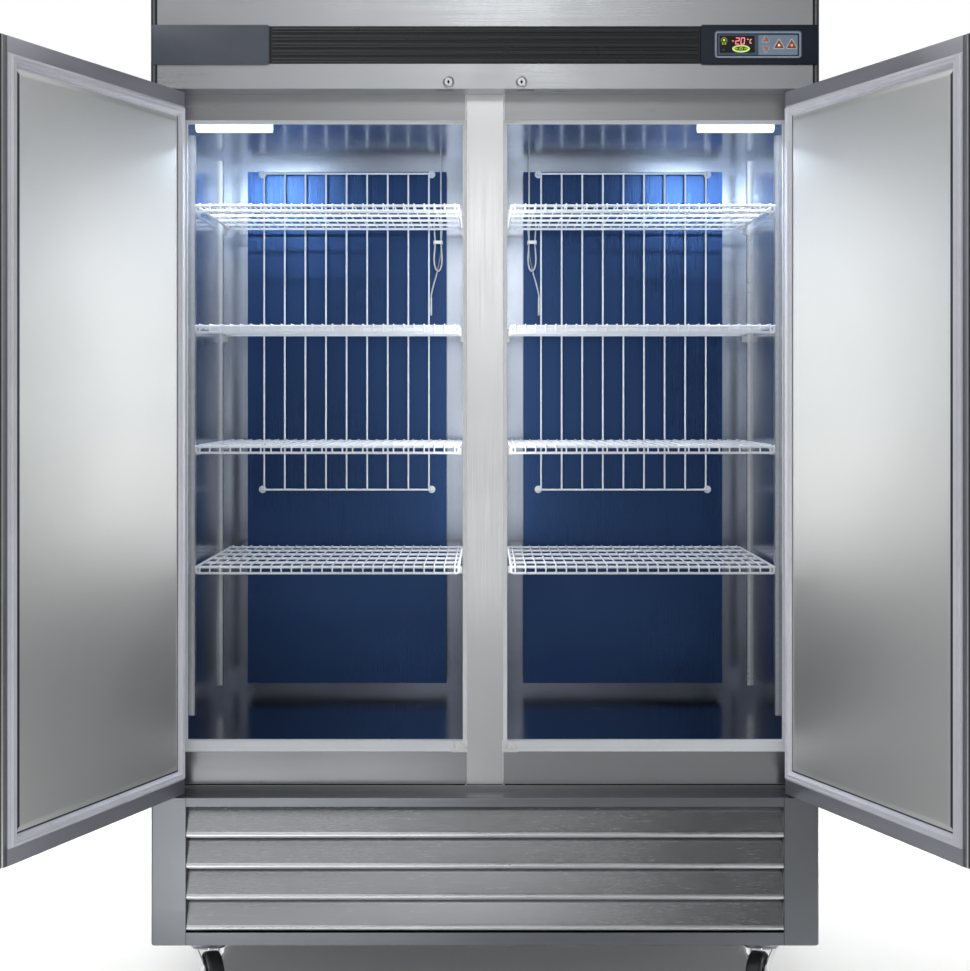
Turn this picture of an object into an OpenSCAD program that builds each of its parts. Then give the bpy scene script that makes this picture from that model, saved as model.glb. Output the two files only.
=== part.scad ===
// Two-door upright laboratory freezer on casters, doors standing open.
// Millimetres. X to the right, Y into the depth (the front faces -Y), Z up.
// The origin lies on the floor, in the middle of the outline seen from above.

/* [Cabinet] */
// Overall width of the cabinet
cab_w = 1372; // [1280:2:1460]
// Depth from the header's front plane to the back sheet
cab_d = 835; // [800:5:900]
// Height of the underside of the base above the floor
base_z = 128; // [122:1:150]
// Height of the base that holds the condensing unit
base_h = 304.5; // [290:0.5:330]
// Height of the zone that the doors fill
door_zone_h = 1456.5; // [1430:0.5:1520]
// Height of the header above the doors
header_h = 207; // [195:1:230]
// Thickness of the stainless sheet of case, frame and header
sheet_t = 1.5; // [1:0.1:2]
// Width of the folded hems at the ends of the header
hem_w = 13; // [8:1:16]

/* [Compartments] */
// Thickness of the insulated side walls
side_wall = 60; // [50:1:70]
// Half the width of the centre post between the openings
post_half = 39.7; // [38:0.1:50]
// Height of the frame strip above the openings
top_strip = 59; // [50:1:70]
// Height of the frame strip below the openings
bottom_strip = 104; // [90:1:115]
// Thickness of the insulated back wall with its liner and sheet
back_wall = 69; // [60:1:80]
// Thickness of the inner liners
liner_t = 1.2; // [0.8:0.1:2]
// Visible width of the breaker strips round an opening
breaker_w = 5; // [4:0.5:8]
// Visible height of the sill strip along the bottom of an opening
sill_h = 23; // [16:1:30]
// Depth of the breaker strips behind the frame's face
breaker_d = 20; // [14:1:26]

/* [Doors] */
// Thickness of a door without its gasket
door_t = 64; // [58:1:70]
// Height of the gasket above the door's inner face
gasket_t = 9.7; // [8:0.1:12]
// Space left between the closed gasket and the face frame
gasket_gap = 0.3; // [0.2:0.1:1]
// Width of the gasket
gasket_w = 20; // [16:1:22]
// Gap above and below a door
door_gap = 4.5; // [4:0.1:6]
// Distance from the cabinet's middle to a door's free edge
door_in = 4; // [3.5:0.1:6]
// Distance from the cabinet's side to a door's hinge edge
door_side_gap = 2; // [1:0.1:4]
// Angle at which the doors stand open
open_angle = 108.5; // [95:0.5:118]
// Distance of the hinge axis from the hinge edge of the door
hinge_in = 16; // [14:0.5:20]
// Distance of the hinge axis behind the door's front
hinge_back = 18; // [15:0.5:22]
// Radius of the hinge pins
hinge_pin_r = 6; // [4:0.5:8]
// Thickness of the door's outer skin
skin_t = 1.2; // [0.8:0.1:2]
// Skin margin outside the gasket at the free edge
margin_free = 15; // [13:0.5:18]
// Skin margin outside the gasket at the hinge edge
margin_hinge = 12; // [10:0.5:20]
// Skin margin outside the gasket at top and bottom
margin_end = 31; // [24:1:34]
// Width of the bevel round the raised inner panel
bevel_w = 11; // [8:1:16]
// Height of the raised inner panel
panel_rise = 6; // [3:0.5:7]

/* [Door pulls] */
// Width of the grip slot at the front of the free edge
grip_w = 26; // [22:1:34]
// Depth of the grip slot
grip_d = 34; // [30:1:40]
// How far the grip slot reaches behind the lip
grip_undercut = 20; // [14:1:26]
// Thickness of the lip that the fingers hold
lip_t = 14; // [11:0.5:17]
// Wall of the grip's lining
lining_t = 1.5; // [1:0.1:2]
// Height of the solid end caps of the grip
grip_cap_h = 34; // [24:1:50]

/* [Fascia and controller] */
// Height of the ribbed fascia
fascia_h = 82; // [76:1:84]
// Distance from the header's underside to the fascia
fascia_up = 48.5; // [46:0.5:60]
// How far the fascia stands out from the header
fascia_out = 6; // [4:0.5:8]
// Number of ribs on the fascia
rib_count = 5; // [3:1:6]
// Distance from the cabinet's sides to the ends of the fascia
fascia_end = 1.5; // [1:0.5:12]
// Length of the plain block at the left end of the fascia
plain_left = 242.5; // [200:0.5:280]
// Length of the plain block at the right end of the fascia
plain_right = 242.5; // [220:0.5:280]
// Width of the controller
ctrl_w = 179; // [170:1:190]
// Height of the controller
ctrl_h = 56; // [50:1:60]
// Distance from the controller's middle to the end of the header
ctrl_end = 126; // [114:1:130]
// How far the controller stands out from the fascia
ctrl_out = 3; // [2:0.5:5]
// Width of the display window
window_w = 72; // [66:1:76]
// Height of the display window
window_h = 35; // [30:1:38]
// Side length of the two small keys
key_small = 14; // [11:0.5:15]
// Side length of the two large keys
key_large = 18; // [15:0.5:19]
// Travel of a key
key_travel = 1; // [0.6:0.1:1.5]

/* [Locks] */
// Distance of each lock from the cabinet's middle
lock_x = 75; // [66:1:90]
// Height of the locks above the header's underside
lock_up = 13.5; // [12.8:0.1:16]
// Outer radius of a lock's housing
lock_r = 12; // [10:0.5:12.5]
// Radius of a lock's plug
plug_r = 8; // [6:0.5:9]
// Length of the cam behind a lock, from the plug's axis
cam_l = 26; // [24:0.5:30]

/* [Base and grille] */
// Width of the front posts of the base
base_post_w = 72; // [60:1:90]
// Height of the rail above the grille
base_rail_top = 18.5; // [14:0.5:26]
// Height of the rail below the grille
base_rail_bottom = 27; // [20:1:32]
// Radius of the rounded lower corners of the base
base_corner_r = 5; // [4:0.5:12]
// Thickness of the base's sheet
base_t = 2; // [1.5:0.1:3]
// Number of louvres in the grille
louvre_count = 4; // [3:1:5]
// Radius of the rolled nose of a louvre
nose_r = 6.5; // [4:0.5:7]
// Depth of the grille
louvre_d = 32; // [28:1:40]

/* [Shelves] */
// Height of the top shelf above the bottom of the opening
shelf_first = 1128; // [1100:1:1160]
// Distance between shelves
shelf_pitch = 254; // [240:1:260]
// Gap between a shelf and each side wall
shelf_side = 13.15; // [11.65:0.5:20.65]
// Gap between a shelf and the wire guard behind it
shelf_back = 16; // [12:1:36]
// Distance from the face frame to the shelves
shelf_front = 30; // [24:1:36]
// Radius of the shelf's frame wires
rail_r = 3; // [2.5:0.1:3.5]
// Radius of the shelf's deck wires
deck_r = 1.6; // [1.2:0.1:2]
// Spacing of the deck wires
deck_pitch = 21.5; // [20:0.5:28]
// Drop of the lower front rail below the upper one
rail_drop = 13; // [11:0.5:16]

/* [Air duct and guard] */
// Width of the duct cover on the back wall
duct_w = 480; // [460:1:500]
// Depth of the duct cover
duct_d = 66; // [62:1:70]
// Width of the wire guard
guard_w = 396; // [360:2:420]
// Height of the wire guard
guard_h = 760; // [700:5:800]
// Number of upright wires in the guard
guard_count = 9; // [7:1:12]
// Distance of the guard's upright wires from the duct cover
guard_off = 20; // [16:1:26]
// Radius of the guard's wires
guard_r = 2.2; // [1.8:0.1:2.8]

/* [Casters] */
// Radius of a caster's wheel
wheel_r = 50; // [44:0.5:51]
// Width of a caster's wheel
wheel_w = 32; // [26:1:36]
// Distance of the swivel axis from the cabinet's side
caster_side = 107; // [96:1:130]
// Distance of the swivel axis from the base's front and back
caster_end = 86; // [74:1:100]
// Distance of the wheel's axle from the swivel axis
caster_trail = 28; // [22:1:32]
// Angle that the casters stand turned from straight ahead
caster_turn = 22; // [0:1:40]

/* [Hidden] */

// Roundness, running clearance of round fits, seat gap between loose pieces
$fn = 48;
run_gap = 0.05;
seat_gap = 0.3;
eps = 1;

// Heights and depths of the cabinet
half_w = cab_w / 2;
base_top = base_z + base_h;
header_z = base_top + door_zone_h;
cab_top = header_z + header_h;
frame_y = door_t + gasket_t + gasket_gap;
frame_back = frame_y + sheet_t;
open_z0 = base_top + bottom_strip;
open_z1 = header_z - top_strip;
open_x0 = post_half;
open_x1 = half_w - side_wall;
room_x = (open_x0 + open_x1) / 2;
room_w = open_x1 - open_x0;
liner_y0 = frame_y + breaker_d;
room_back = cab_d - back_wall;
control_d = 120;
control_wall = 24;

// Sizes of a door, in its closed place
door_w = half_w - door_side_gap - door_in;
door_h = door_zone_h - 2 * door_gap;
door_z0 = base_top + door_gap;
door_z1 = door_z0 + door_h;
hinge_x = half_w - door_side_gap - hinge_in;
hinge_u = door_w - hinge_in;
socket_r = hinge_pin_r + 4;
pin_l = 20;
hinge_plate_t = 3.5;
grip_back = grip_w + grip_undercut;
panel_seat = gasket_w / 2;
panel_off = gasket_w + 4;

// The outline from above, which sets the origin's place in the depth
function door_y(u, v) =
    hinge_back - (hinge_u - u) * sin(open_angle) + (v - hinge_back) * cos(open_angle);
front_y = min(door_y(-lining_t, door_t - 4), door_y(0, door_t));
mid_y = (cab_d + front_y) / 2;

// Fascia, controller and locks
fascia_z = header_z + fascia_up;
fascia_x = half_w - fascia_end;
ctrl_x = half_w - ctrl_end;
ctrl_z = fascia_z + fascia_h / 2;
ctrl_y = -fascia_out - ctrl_out;
ctrl_back = 34;
window_x = ctrl_x - ctrl_w / 2 + 10.5 + window_w / 2;
key_y0 = ctrl_y - 1.2;
key_floor = ctrl_y + 8;
key_stack_x = ctrl_x + 15.5;
key_rise = 9;
key_drop = 2;
key_row_x = [ctrl_x + 42.5, ctrl_x + 68.5];
key_gap = 0.4;
lock_z = header_z + lock_up;
cam_y = 20;
cam_t = 3;
cam_w = 9;

// Duct, guard, shelves and pilasters
duct_y = room_back - duct_d;
guard_y = duct_y - guard_off;
shelf_y0 = frame_y + shelf_front;
shelf_w = room_w - 2 * shelf_side;
shelf_d = guard_y - shelf_back - shelf_y0;
shelf_top = [for (i = [0:3]) open_z0 + shelf_first - i * shelf_pitch];
wire_sides = 6;
rail_sides = 8;
pilaster_w = 22;
pilaster_d = 7;
pilaster_t = 1.5;
pilaster_y = [shelf_y0 + 60, shelf_y0 + shelf_d - 60];
pilaster_z0 = open_z0 + 40;
pilaster_z1 = open_z1 - 16;
slot_h = 12;
clip_w = 16;
duct_z0 = open_z0 + 30;
duct_z1 = open_z1 - 30;
guard_z1 = duct_z1 - 6;
fan_z = duct_z1 - 150;
evap_fan_r = 88;
evap_coil_z0 = duct_z0 + 420;
evap_coil_h = 320;

// Condensing unit
cond_x = -250;
cond_z = base_z + base_h / 2;
cond_w = 560;
cond_h = 240;
cond_y = louvre_d + 38;
cond_d = 52;
shroud_y = cond_y + cond_d + seat_gap;
cond_fan_r = 104;
cond_fan_y = shroud_y + 22;
shaft_r = 4;
comp_r = 84;
comp_h = 202;
comp_x = 360;
comp_y = cond_y + cond_d + 310;
foot_w = 220;
foot_d = 148;
pan_x = -120;
pan_w = 600;
pan_d = 240;
pan_h = 50;
pan_t = 3;
pan_back = 35;
vent_x = 300;
vent_w = 440;
vent_h = 10;
vent_pitch = 24;
vent_count = 8;

// Casters
plate_t = 5;
race_h = 6;
fork_top = base_z - plate_t - race_h;
fork_t = 4;
shoulder_w = 17;
shoulder_h = 54;
king_r = 8;
axle_r = 6;
fork_inner = wheel_w / 2 + 2;

// Left and mirrored right copies of what the children draw
module both() {
    children();
    mirror([1, 0, 0]) children();
}

// From the front plane of the cabinet to the part's own origin
module placed() {
    translate([0, -mid_y, 0]) children();
}

// A box between two corners
module span(a, b) {
    translate(a) cube([b[0] - a[0], b[1] - a[1], b[2] - a[2]]);
}

// A rod of radius r between two points on one axis direction
module rod_x(p, l, r) {
    translate(p) rotate([0, 90, 0]) cylinder(r = r, h = l);
}
module rod_y(p, l, r) {
    translate(p) rotate([-90, 0, 0]) cylinder(r = r, h = l);
}
module rod_z(p, l, r) {
    translate(p) cylinder(r = r, h = l);
}

// A shape drawn in Y and Z, run along X from x0 to x1
module along_x(x0, x1) {
    translate([x0, 0, 0]) rotate([90, 0, 90]) linear_extrude(x1 - x0) children();
}

// A shape drawn in X and Z, run along Y from y0 to y1
module along_y(y0, y1) {
    translate([0, y1, 0]) rotate([90, 0, 0]) linear_extrude(y1 - y0) children();
}

// Rectangle with rounded corners, centred
module round_rect(w, h, r) {
    square([w - 2 * r, h], center = true);
    square([w, h - 2 * r], center = true);
    for (sx = [-1, 1], sy = [-1, 1])
        translate([sx * (w / 2 - r), sy * (h / 2 - r)]) circle(r);
}

module outer_case() color("silver") placed() {
    difference() {
        along_x(-half_w, half_w) polygon([
            [frame_y, base_top], [cab_d, base_top], [cab_d, cab_top],
            [0, cab_top], [0, header_z], [frame_y, header_z]
        ]);
        along_x(-half_w + sheet_t, half_w - sheet_t) polygon([
            [frame_y - eps, base_top - eps], [cab_d - sheet_t, base_top - eps],
            [cab_d - sheet_t, cab_top - sheet_t], [-eps, cab_top - sheet_t],
            [-eps, header_z - eps], [frame_y - eps, header_z - eps]
        ]);
    }
    // Folded hems that close the ends of the header
    both() span([-half_w, 0, header_z], [-half_w + hem_w, sheet_t, cab_top]);
}

// One compartment's space on the left, grown by g and starting at depth y0
module room(y0, y1, g) {
    span([-open_x1 - g, y0, open_z0 - g], [-open_x0 + g, y1, open_z1 + g]);
}

// The space that a breaker strip fills in the frame and the foam
module breaker_space(y0, y1) {
    span([-open_x1 - breaker_w, y0, open_z0 - sill_h],
        [-open_x0 + breaker_w, y1, open_z1 + breaker_w]);
}

module insulation() color("wheat") placed() difference() {
    along_x(-half_w + sheet_t, half_w - sheet_t) polygon([
        [frame_back, base_top], [cab_d - sheet_t, base_top],
        [cab_d - sheet_t, cab_top - sheet_t], [sheet_t, cab_top - sheet_t],
        [sheet_t, header_z + sheet_t], [frame_back, header_z + sheet_t]
    ]);
    // Pocket behind the header for the controller and the locks
    span([-half_w + control_wall, 0, header_z], [half_w - control_wall, control_d,
        cab_top - control_wall]);
    both() {
        room(frame_y, room_back + liner_t, liner_t);
        breaker_space(frame_y, liner_y0);
    }
}

module liners() color("gainsboro") placed() both() difference() {
    room(liner_y0, room_back + liner_t, liner_t);
    room(liner_y0 - eps, room_back, 0);
}

module face_frame() color("silver") placed() difference() {
    span([-half_w + sheet_t, frame_y, base_top], [half_w - sheet_t, frame_back, header_z]);
    both() breaker_space(frame_y - eps, frame_back + eps);
}

// Strip round an opening, with its sill and the two small corner clips
module breaker_strips() color("whitesmoke") placed() both() {
    difference() {
        breaker_space(frame_y, liner_y0);
        room(frame_y - eps, liner_y0 + eps, 0);
    }
    for (x = [-open_x0 - 26, -open_x1])
        span([x, frame_y + 2, open_z1 - 6], [x + 26, frame_y + 14, open_z1 + eps]);
}

// Slot through the header's lower flange and into a door's top for a cam
module cam_space(z0, z1) {
    span([-lock_x - cam_l, cam_y - 3, z0], [-lock_x + cam_w, cam_y + cam_t + 3, z1]);
}

module header_panel() color("silver") placed() difference() {
    union() {
        span([-half_w + hem_w, 0, header_z], [half_w - hem_w, sheet_t, cab_top - sheet_t]);
        span([-half_w + sheet_t, sheet_t, header_z],
            [half_w - sheet_t, frame_back, header_z + sheet_t]);
    }
    both() {
        rod_y([-lock_x, -eps, lock_z], 4 * eps + sheet_t, plug_r + 2);
        cam_space(header_z - eps, header_z + sheet_t + eps);
    }
    translate([ctrl_x, 0, ctrl_z]) along_y(-eps, sheet_t + eps)
        round_rect(ctrl_w - 12 + 2 * seat_gap, ctrl_h - 8 + 2 * seat_gap, 4);
}

// Outline of the fascia's ribs, drawn in Y and Z
module rib_profile() {
    pitch = fascia_h / rib_count;
    translate([-2, fascia_z]) square([2, fascia_h]);
    for (i = [0:rib_count - 1])
        translate([-2, fascia_z + (i + 0.5) * pitch]) intersection() {
            circle(pitch / 2 - 1);
            translate([2 - fascia_out, -pitch / 2]) square([fascia_out, pitch]);
        }
}

// Outline of the plain blocks, with a step along both edges
module block_profile() {
    translate([-fascia_out + 2, fascia_z]) square([fascia_out - 2, fascia_h]);
    translate([-fascia_out, fascia_z + 3]) square([fascia_out, fascia_h - 6]);
}

module fascia_panel() color([0.2, 0.22, 0.26]) placed() difference() {
    union() {
        along_x(-fascia_x + plain_left, fascia_x - plain_right) rib_profile();
        along_x(-fascia_x, -fascia_x + plain_left) block_profile();
        along_x(fascia_x - plain_right, fascia_x) block_profile();
    }
    translate([ctrl_x, 0, ctrl_z]) along_y(-fascia_out - eps, eps)
        round_rect(ctrl_w + 2 * seat_gap, ctrl_h + 2 * seat_gap, 6);
}

// Triangle pointing up (turn 0), in X and Z, with side length a
module triangle(a, turn) {
    rotate(turn) polygon([[-a / 2, -a * 0.29], [a / 2, -a * 0.29], [0, a * 0.58]]);
}

// Place of each key: x, z, side and turn
key_place = [
    [key_stack_x, ctrl_z + key_rise, key_small, 0],
    [key_stack_x, ctrl_z - key_rise, key_small, 180],
    [key_row_x[0], ctrl_z - key_drop, key_large, 0],
    [key_row_x[1], ctrl_z - key_drop, key_large, 0]
];

module controller_body() color([0.42, 0.48, 0.55]) placed() difference() {
    translate([ctrl_x, 0, ctrl_z]) {
        along_y(ctrl_y, -seat_gap) round_rect(ctrl_w, ctrl_h, 6);
        along_y(-seat_gap - eps, ctrl_back) round_rect(ctrl_w - 12, ctrl_h - 8, 4);
    }
    translate([window_x, 0, ctrl_z]) along_y(ctrl_y - eps, ctrl_y + 2)
        square([window_w, window_h], center = true);
    for (k = key_place)
        translate([k[0], 0, k[1]]) along_y(ctrl_y - eps, key_floor)
            triangle(k[2] + 4 * key_gap, k[3]);
}

module display_window() color([0.05, 0.06, 0.08]) placed()
    translate([window_x, 0, ctrl_z]) along_y(ctrl_y + 0.5, ctrl_y + 2)
        square([window_w - 2 * seat_gap, window_h - 2 * seat_gap], center = true);

module key(i) color("orangered") placed() {
    k = key_place[i];
    translate([k[0], 0, k[1]]) along_y(key_y0, key_floor - key_travel - 0.1)
        triangle(k[2], k[3]);
}

module lock_housings() color("gainsboro") placed() both() translate([-lock_x, 0, lock_z])
    difference() {
        union() {
            rod_y([0, -3, 0], 3, lock_r);
            rod_y([0, -1, 0], cam_y, plug_r + 1.8);
        }
        rod_y([0, -4, 0], cam_y + 6, plug_r + run_gap);
    }

// Plug with its keyway in front and its cam behind, pointing outward when open
module lock_plug_left() color("silver") placed() translate([-lock_x, 0, lock_z]) {
    difference() {
        rod_y([0, -3.5, 0], cam_y + 3.5, plug_r);
        span([-1, -4, -4.5], [1, 3, 4.5]);
    }
    rod_y([0, cam_y - eps, 0], cam_t + eps, plug_r - 1.5);
    span([-cam_l, cam_y, -cam_w / 2], [0, cam_y + cam_t, cam_w / 2]);
}
module lock_plug_right() {
    mirror([1, 0, 0]) lock_plug_left();
}

// Front view of the base, with rounded lower corners, drawn in by g
module base_outline(g) {
    r = base_corner_r - g;
    w = half_w - g;
    z0 = base_z + g;
    translate([-w, z0 + r]) square([2 * w, base_top - g - z0 - r]);
    translate([-w + r, z0]) square([2 * (w - r), r + eps]);
    for (s = [-1, 1]) translate([s * (w - r), z0 + r]) circle(r);
}

// Opening of the grille, grown by g
grille_x = half_w - base_post_w;
grille_z0 = base_z + base_rail_bottom;
grille_z1 = base_top - base_rail_top;
module grille_space(y0, y1, g) {
    span([-grille_x - g, y0, grille_z0 - g], [grille_x + g, y1, grille_z1 + g]);
}

module base_frame() color("silver") placed() difference() {
    union() {
        difference() {
            along_y(0, cab_d) base_outline(0);
            along_y(base_t, cab_d - base_t) base_outline(base_t);
        }
        // Folded returns round the grille
        grille_space(base_t - eps, louvre_d - 10, base_t);
    }
    grille_space(-eps, louvre_d, 0);
    // Ventilation slots in the rear panel
    for (sx = [-1, 1], i = [0:vent_count - 1])
        translate([sx * vent_x, cab_d - base_t / 2, base_z + 65 + i * vent_pitch])
            cube([vent_w, base_t + 2 * eps, vent_h], center = true);
}

// One louvre: sloping blade with a rolled nose at its lower front edge
louvre_pitch = (grille_z1 - grille_z0 - 4) / louvre_count;
blade_t = 1.5;
module louvre_profile() {
    back = louvre_d - nose_r;
    top = louvre_pitch - nose_r - 3;
    polygon([
        [0, nose_r - blade_t], [4, nose_r - blade_t], [back, top - blade_t],
        [back, top + blade_t], [3, nose_r], [0, nose_r]
    ]);
    difference() {
        circle(nose_r);
        circle(nose_r - blade_t);
        translate([0, -nose_r - eps]) square(nose_r + eps);
    }
}

module louvre_grille() color("gray") placed() {
    for (i = [0:louvre_count - 1])
        along_x(-grille_x + seat_gap, grille_x - seat_gap)
            translate([nose_r, grille_z0 + 3 + nose_r + i * louvre_pitch]) louvre_profile();
    both() span([-grille_x + seat_gap, 14, grille_z0 + seat_gap],
        [-grille_x + seat_gap + 2, louvre_d + 4, grille_z1 - seat_gap]);
    for (x = [-grille_x / 3, grille_x / 3])
        span([x - 1, louvre_d - nose_r - 1, grille_z0 + seat_gap],
            [x + 1, louvre_d + 4, grille_z1 - seat_gap]);
}

module compressor() color([0.12, 0.12, 0.13]) placed()
    translate([comp_x, comp_y, base_z + base_t]) {
        r = comp_r;
        h = comp_h;
        rotate_extrude() polygon([
            [0, 0.11 * h], [r - 16, 0.11 * h], [r - 4, 0.15 * h], [r, 0.21 * h],
            [r, 0.455 * h], [r + 5, 0.465 * h], [r + 5, 0.49 * h], [r, 0.5 * h],
            [r, 0.74 * h], [r - 6, 0.85 * h], [r - 24, 0.94 * h], [r - 52, 0.985 * h],
            [0, h]
        ]);
        translate([-foot_w / 2, -foot_d / 2, 0.08 * h]) cube([foot_w, foot_d, 7]);
        for (sx = [-1, 1], sy = [-1, 1])
            rod_z([sx * (foot_w / 2 - 18), sy * (foot_d / 2 - 16), 0], 0.08 * h + 1, 15);
        // Terminal box and pipe stubs
        span([r - 12, -0.4 * r, 0.3 * h], [r + 34, 0.4 * r, 0.65 * h]);
        rod_z([-0.48 * r, 0.6 * r, 0.74 * h], 60, 5);
        rod_z([-0.69 * r, 0.26 * r, 0.74 * h], 70, 7);
    }

// Finned block w wide, d deep and h high with its lower front left corner at
// the origin, and return bends at both ends
module fin_block(w, d, h, fins, rows) {
    pitch = w / fins;
    fin = 0.45 * pitch;
    linear_extrude(h) {
        for (i = [0:fins - 1]) translate([i * pitch, 0]) square([fin, d]);
        translate([0, d / 2 - 4]) square([(fins - 1) * pitch + fin, 8]);
    }
    row = h / rows;
    sunk = 0.3 * fin;
    for (i = [0:rows - 2], e = [0, 1])
        if ((i + e) % 2 == 0)
            translate([e == 0 ? sunk : (fins - 1) * pitch + fin - sunk, d / 2, (i + 1) * row])
                rotate([90, 0, e == 0 ? 180 : 0]) rotate([0, 0, -90])
                    rotate_extrude(angle = 180) translate([row / 2, 0]) circle(4, $fn = 24);
}

module condenser_coil() color([0.6, 0.5, 0.42]) placed()
    translate([cond_x - cond_w / 2, cond_y, cond_z - cond_h / 2])
        fin_block(cond_w, cond_d, cond_h, 56, 8);

// Motor can on a three-armed spider, with a shaft that points to -Y
module fan_motor(y_hub, y_arm, r_ring, motor_r, motor_l) {
    rod_y([0, y_arm, 0], motor_l, motor_r);
    rod_y([0, y_hub, 0], y_arm - y_hub + eps, shaft_r);
    for (a = [90, 210, 330]) rotate([0, a, 0])
        span([0, y_arm + 4, -5], [r_ring + 5, y_arm + 7, 5]);
}

module condenser_shroud() color([0.16, 0.16, 0.17]) placed() translate([cond_x, 0, cond_z]) {
    depth = 46;
    difference() {
        union() {
            span([-cond_w / 2, shroud_y, -cond_h / 2],
                [cond_w / 2, shroud_y + 2, cond_h / 2]);
            rod_y([0, shroud_y, 0], depth, cond_fan_r + 6);
            span([-cond_w / 2, shroud_y, base_z + base_t - cond_z + seat_gap],
                [cond_w / 2, shroud_y + 30, base_z + base_t - cond_z + seat_gap + 2]);
            for (s = [-1, 1])
                span([s * (cond_w / 2 - 10) - 10, shroud_y, base_z + base_t - cond_z + seat_gap],
                    [s * (cond_w / 2 - 10) + 10, shroud_y + 2, 0]);
        }
        rod_y([0, shroud_y - eps, 0], depth + 2 * eps, cond_fan_r + 4);
    }
    fan_motor(cond_fan_y - 8, shroud_y + depth - 10, cond_fan_r, 38, 60);
}

// Fan with n pitched blades; the hub runs on a shaft along Y
module fan(r, hub_r, hub_l, n) {
    difference() {
        union() {
            rod_y([0, 0, 0], hub_l, hub_r);
            for (i = [0:n - 1]) rotate([0, i * 360 / n, 0])
                translate([0, hub_l / 2, 0]) rotate([28, 0, 0]) intersection() {
                    span([hub_r - 6, -1, -hub_l * 0.9], [r, 1, hub_l * 0.9]);
                    rotate([90, 0, 0]) cylinder(r = r, h = 3, center = true);
                }
        }
        rod_y([0, -eps, 0], hub_l + 2 * eps, shaft_r + run_gap);
    }
}

module condenser_fan() color([0.2, 0.2, 0.22]) placed()
    translate([cond_x, cond_fan_y - 11, cond_z]) fan(cond_fan_r - 6, 30, 22, 5);

module drain_pan() color([0.25, 0.25, 0.27]) placed() difference() {
    z0 = base_z + base_t + seat_gap;
    y1 = cab_d - pan_back;
    span([pan_x - pan_w / 2, y1 - pan_d, z0], [pan_x + pan_w / 2, y1, z0 + pan_h]);
    span([pan_x - pan_w / 2 + pan_t, y1 - pan_d + pan_t, z0 + pan_t],
        [pan_x + pan_w / 2 - pan_t, y1 - pan_t, z0 + pan_h + eps]);
}

// Cooling coil and fan motor behind the duct cover of one compartment
module evaporator_coils() color([0.7, 0.72, 0.74]) placed() both() {
    w = duct_w - 60;
    translate([-room_x - w / 2, duct_y + 8, evap_coil_z0])
        fin_block(w, duct_d - 8 - seat_gap, evap_coil_h, 40, 8);
    translate([-room_x, room_back - seat_gap, fan_z]) {
        fan_motor(-duct_d + 14, -26, evap_fan_r, 24, 26);
        difference() {
            rod_y([0, -58, 0], 58, evap_fan_r + 6);
            rod_y([0, -59, 0], 60, evap_fan_r + 3);
        }
    }
}

module evaporator_fan_left() color([0.24, 0.24, 0.26]) placed()
    translate([-room_x, room_back - seat_gap - duct_d + 13, fan_z])
        fan(evap_fan_r, 22, 16, 5);
module evaporator_fan_right() {
    mirror([1, 0, 0]) evaporator_fan_left();
}

module duct_covers() color("gainsboro") placed() both() difference() {
    span([-room_x - duct_w / 2, duct_y, duct_z0], [-room_x + duct_w / 2, room_back, duct_z1]);
    span([-room_x - duct_w / 2 + liner_t, duct_y + liner_t, duct_z0 - eps],
        [-room_x + duct_w / 2 - liner_t, room_back + eps, duct_z1 + eps]);
}

// Upright wires between two cross wires, on four legs against the duct cover
module wire_guards() color("white") placed() both() {
    step = guard_w / (guard_count - 1);
    x0 = -room_x - guard_w / 2;
    for (i = [0:guard_count - 1])
        rod_z([x0 + i * step, guard_y, guard_z1 - guard_h], guard_h, guard_r,
            $fn = rail_sides);
    for (z = [guard_z1 - guard_h, guard_z1 - guard_h / 2, guard_z1])
        rod_x([x0 - 8, guard_y + guard_r, z], guard_w + 16, guard_r + 0.3,
            $fn = rail_sides);
    for (x = [x0 - 6, x0 + guard_w + 6], z = [guard_z1 - guard_h, guard_z1]) {
        rod_y([x, guard_y, z], duct_y - guard_y - 1, guard_r + 0.6, $fn = rail_sides);
        rod_y([x, duct_y - 2, z], 2, 9);
    }
}

// Slotted upright on a side wall, drawn for the wall at x = 0 facing +X
module pilaster(y) {
    difference() {
        translate([0, y, pilaster_z0]) linear_extrude(pilaster_z1 - pilaster_z0) difference() {
            translate([0, -pilaster_w / 2]) square([pilaster_d, pilaster_w]);
            translate([-eps, -pilaster_w / 2 + pilaster_t])
                square([pilaster_d - pilaster_t + eps, pilaster_w - 2 * pilaster_t]);
        }
        for (i = [0:slot_count])
            span([pilaster_d - pilaster_t - eps, y - 3.5, slot_z(i)],
                [pilaster_d + eps, y + 3.5, slot_z(i) + slot_h]);
    }
}

// Height of a clip's ledge, just below the side rail of the shelf at height top
function clip_seat(top) = top - 2 * deck_r - 2 * rail_r + 0.5 - seat_gap;

// Lower edge of slot i; every fifth slot takes a shelf
slot_pitch = shelf_pitch / 5;
slot_low = clip_seat(shelf_top[3]) - 17;
slot_first = slot_low - floor((slot_low - pilaster_z0 - 6) / slot_pitch) * slot_pitch;
slot_count = floor((pilaster_z1 - slot_first - slot_h - 4) / slot_pitch);
function slot_z(i) = slot_first + i * slot_pitch;

// The four walls that carry pilasters: outer and inner wall of both rooms
module each_wall() {
    both() {
        translate([-open_x1, 0, 0]) children();
        translate([-open_x0, 0, 0]) mirror([1, 0, 0]) children();
    }
}

module shelf_pilasters() color("lightgray") placed() each_wall()
    for (y = pilaster_y) pilaster(y);

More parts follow.
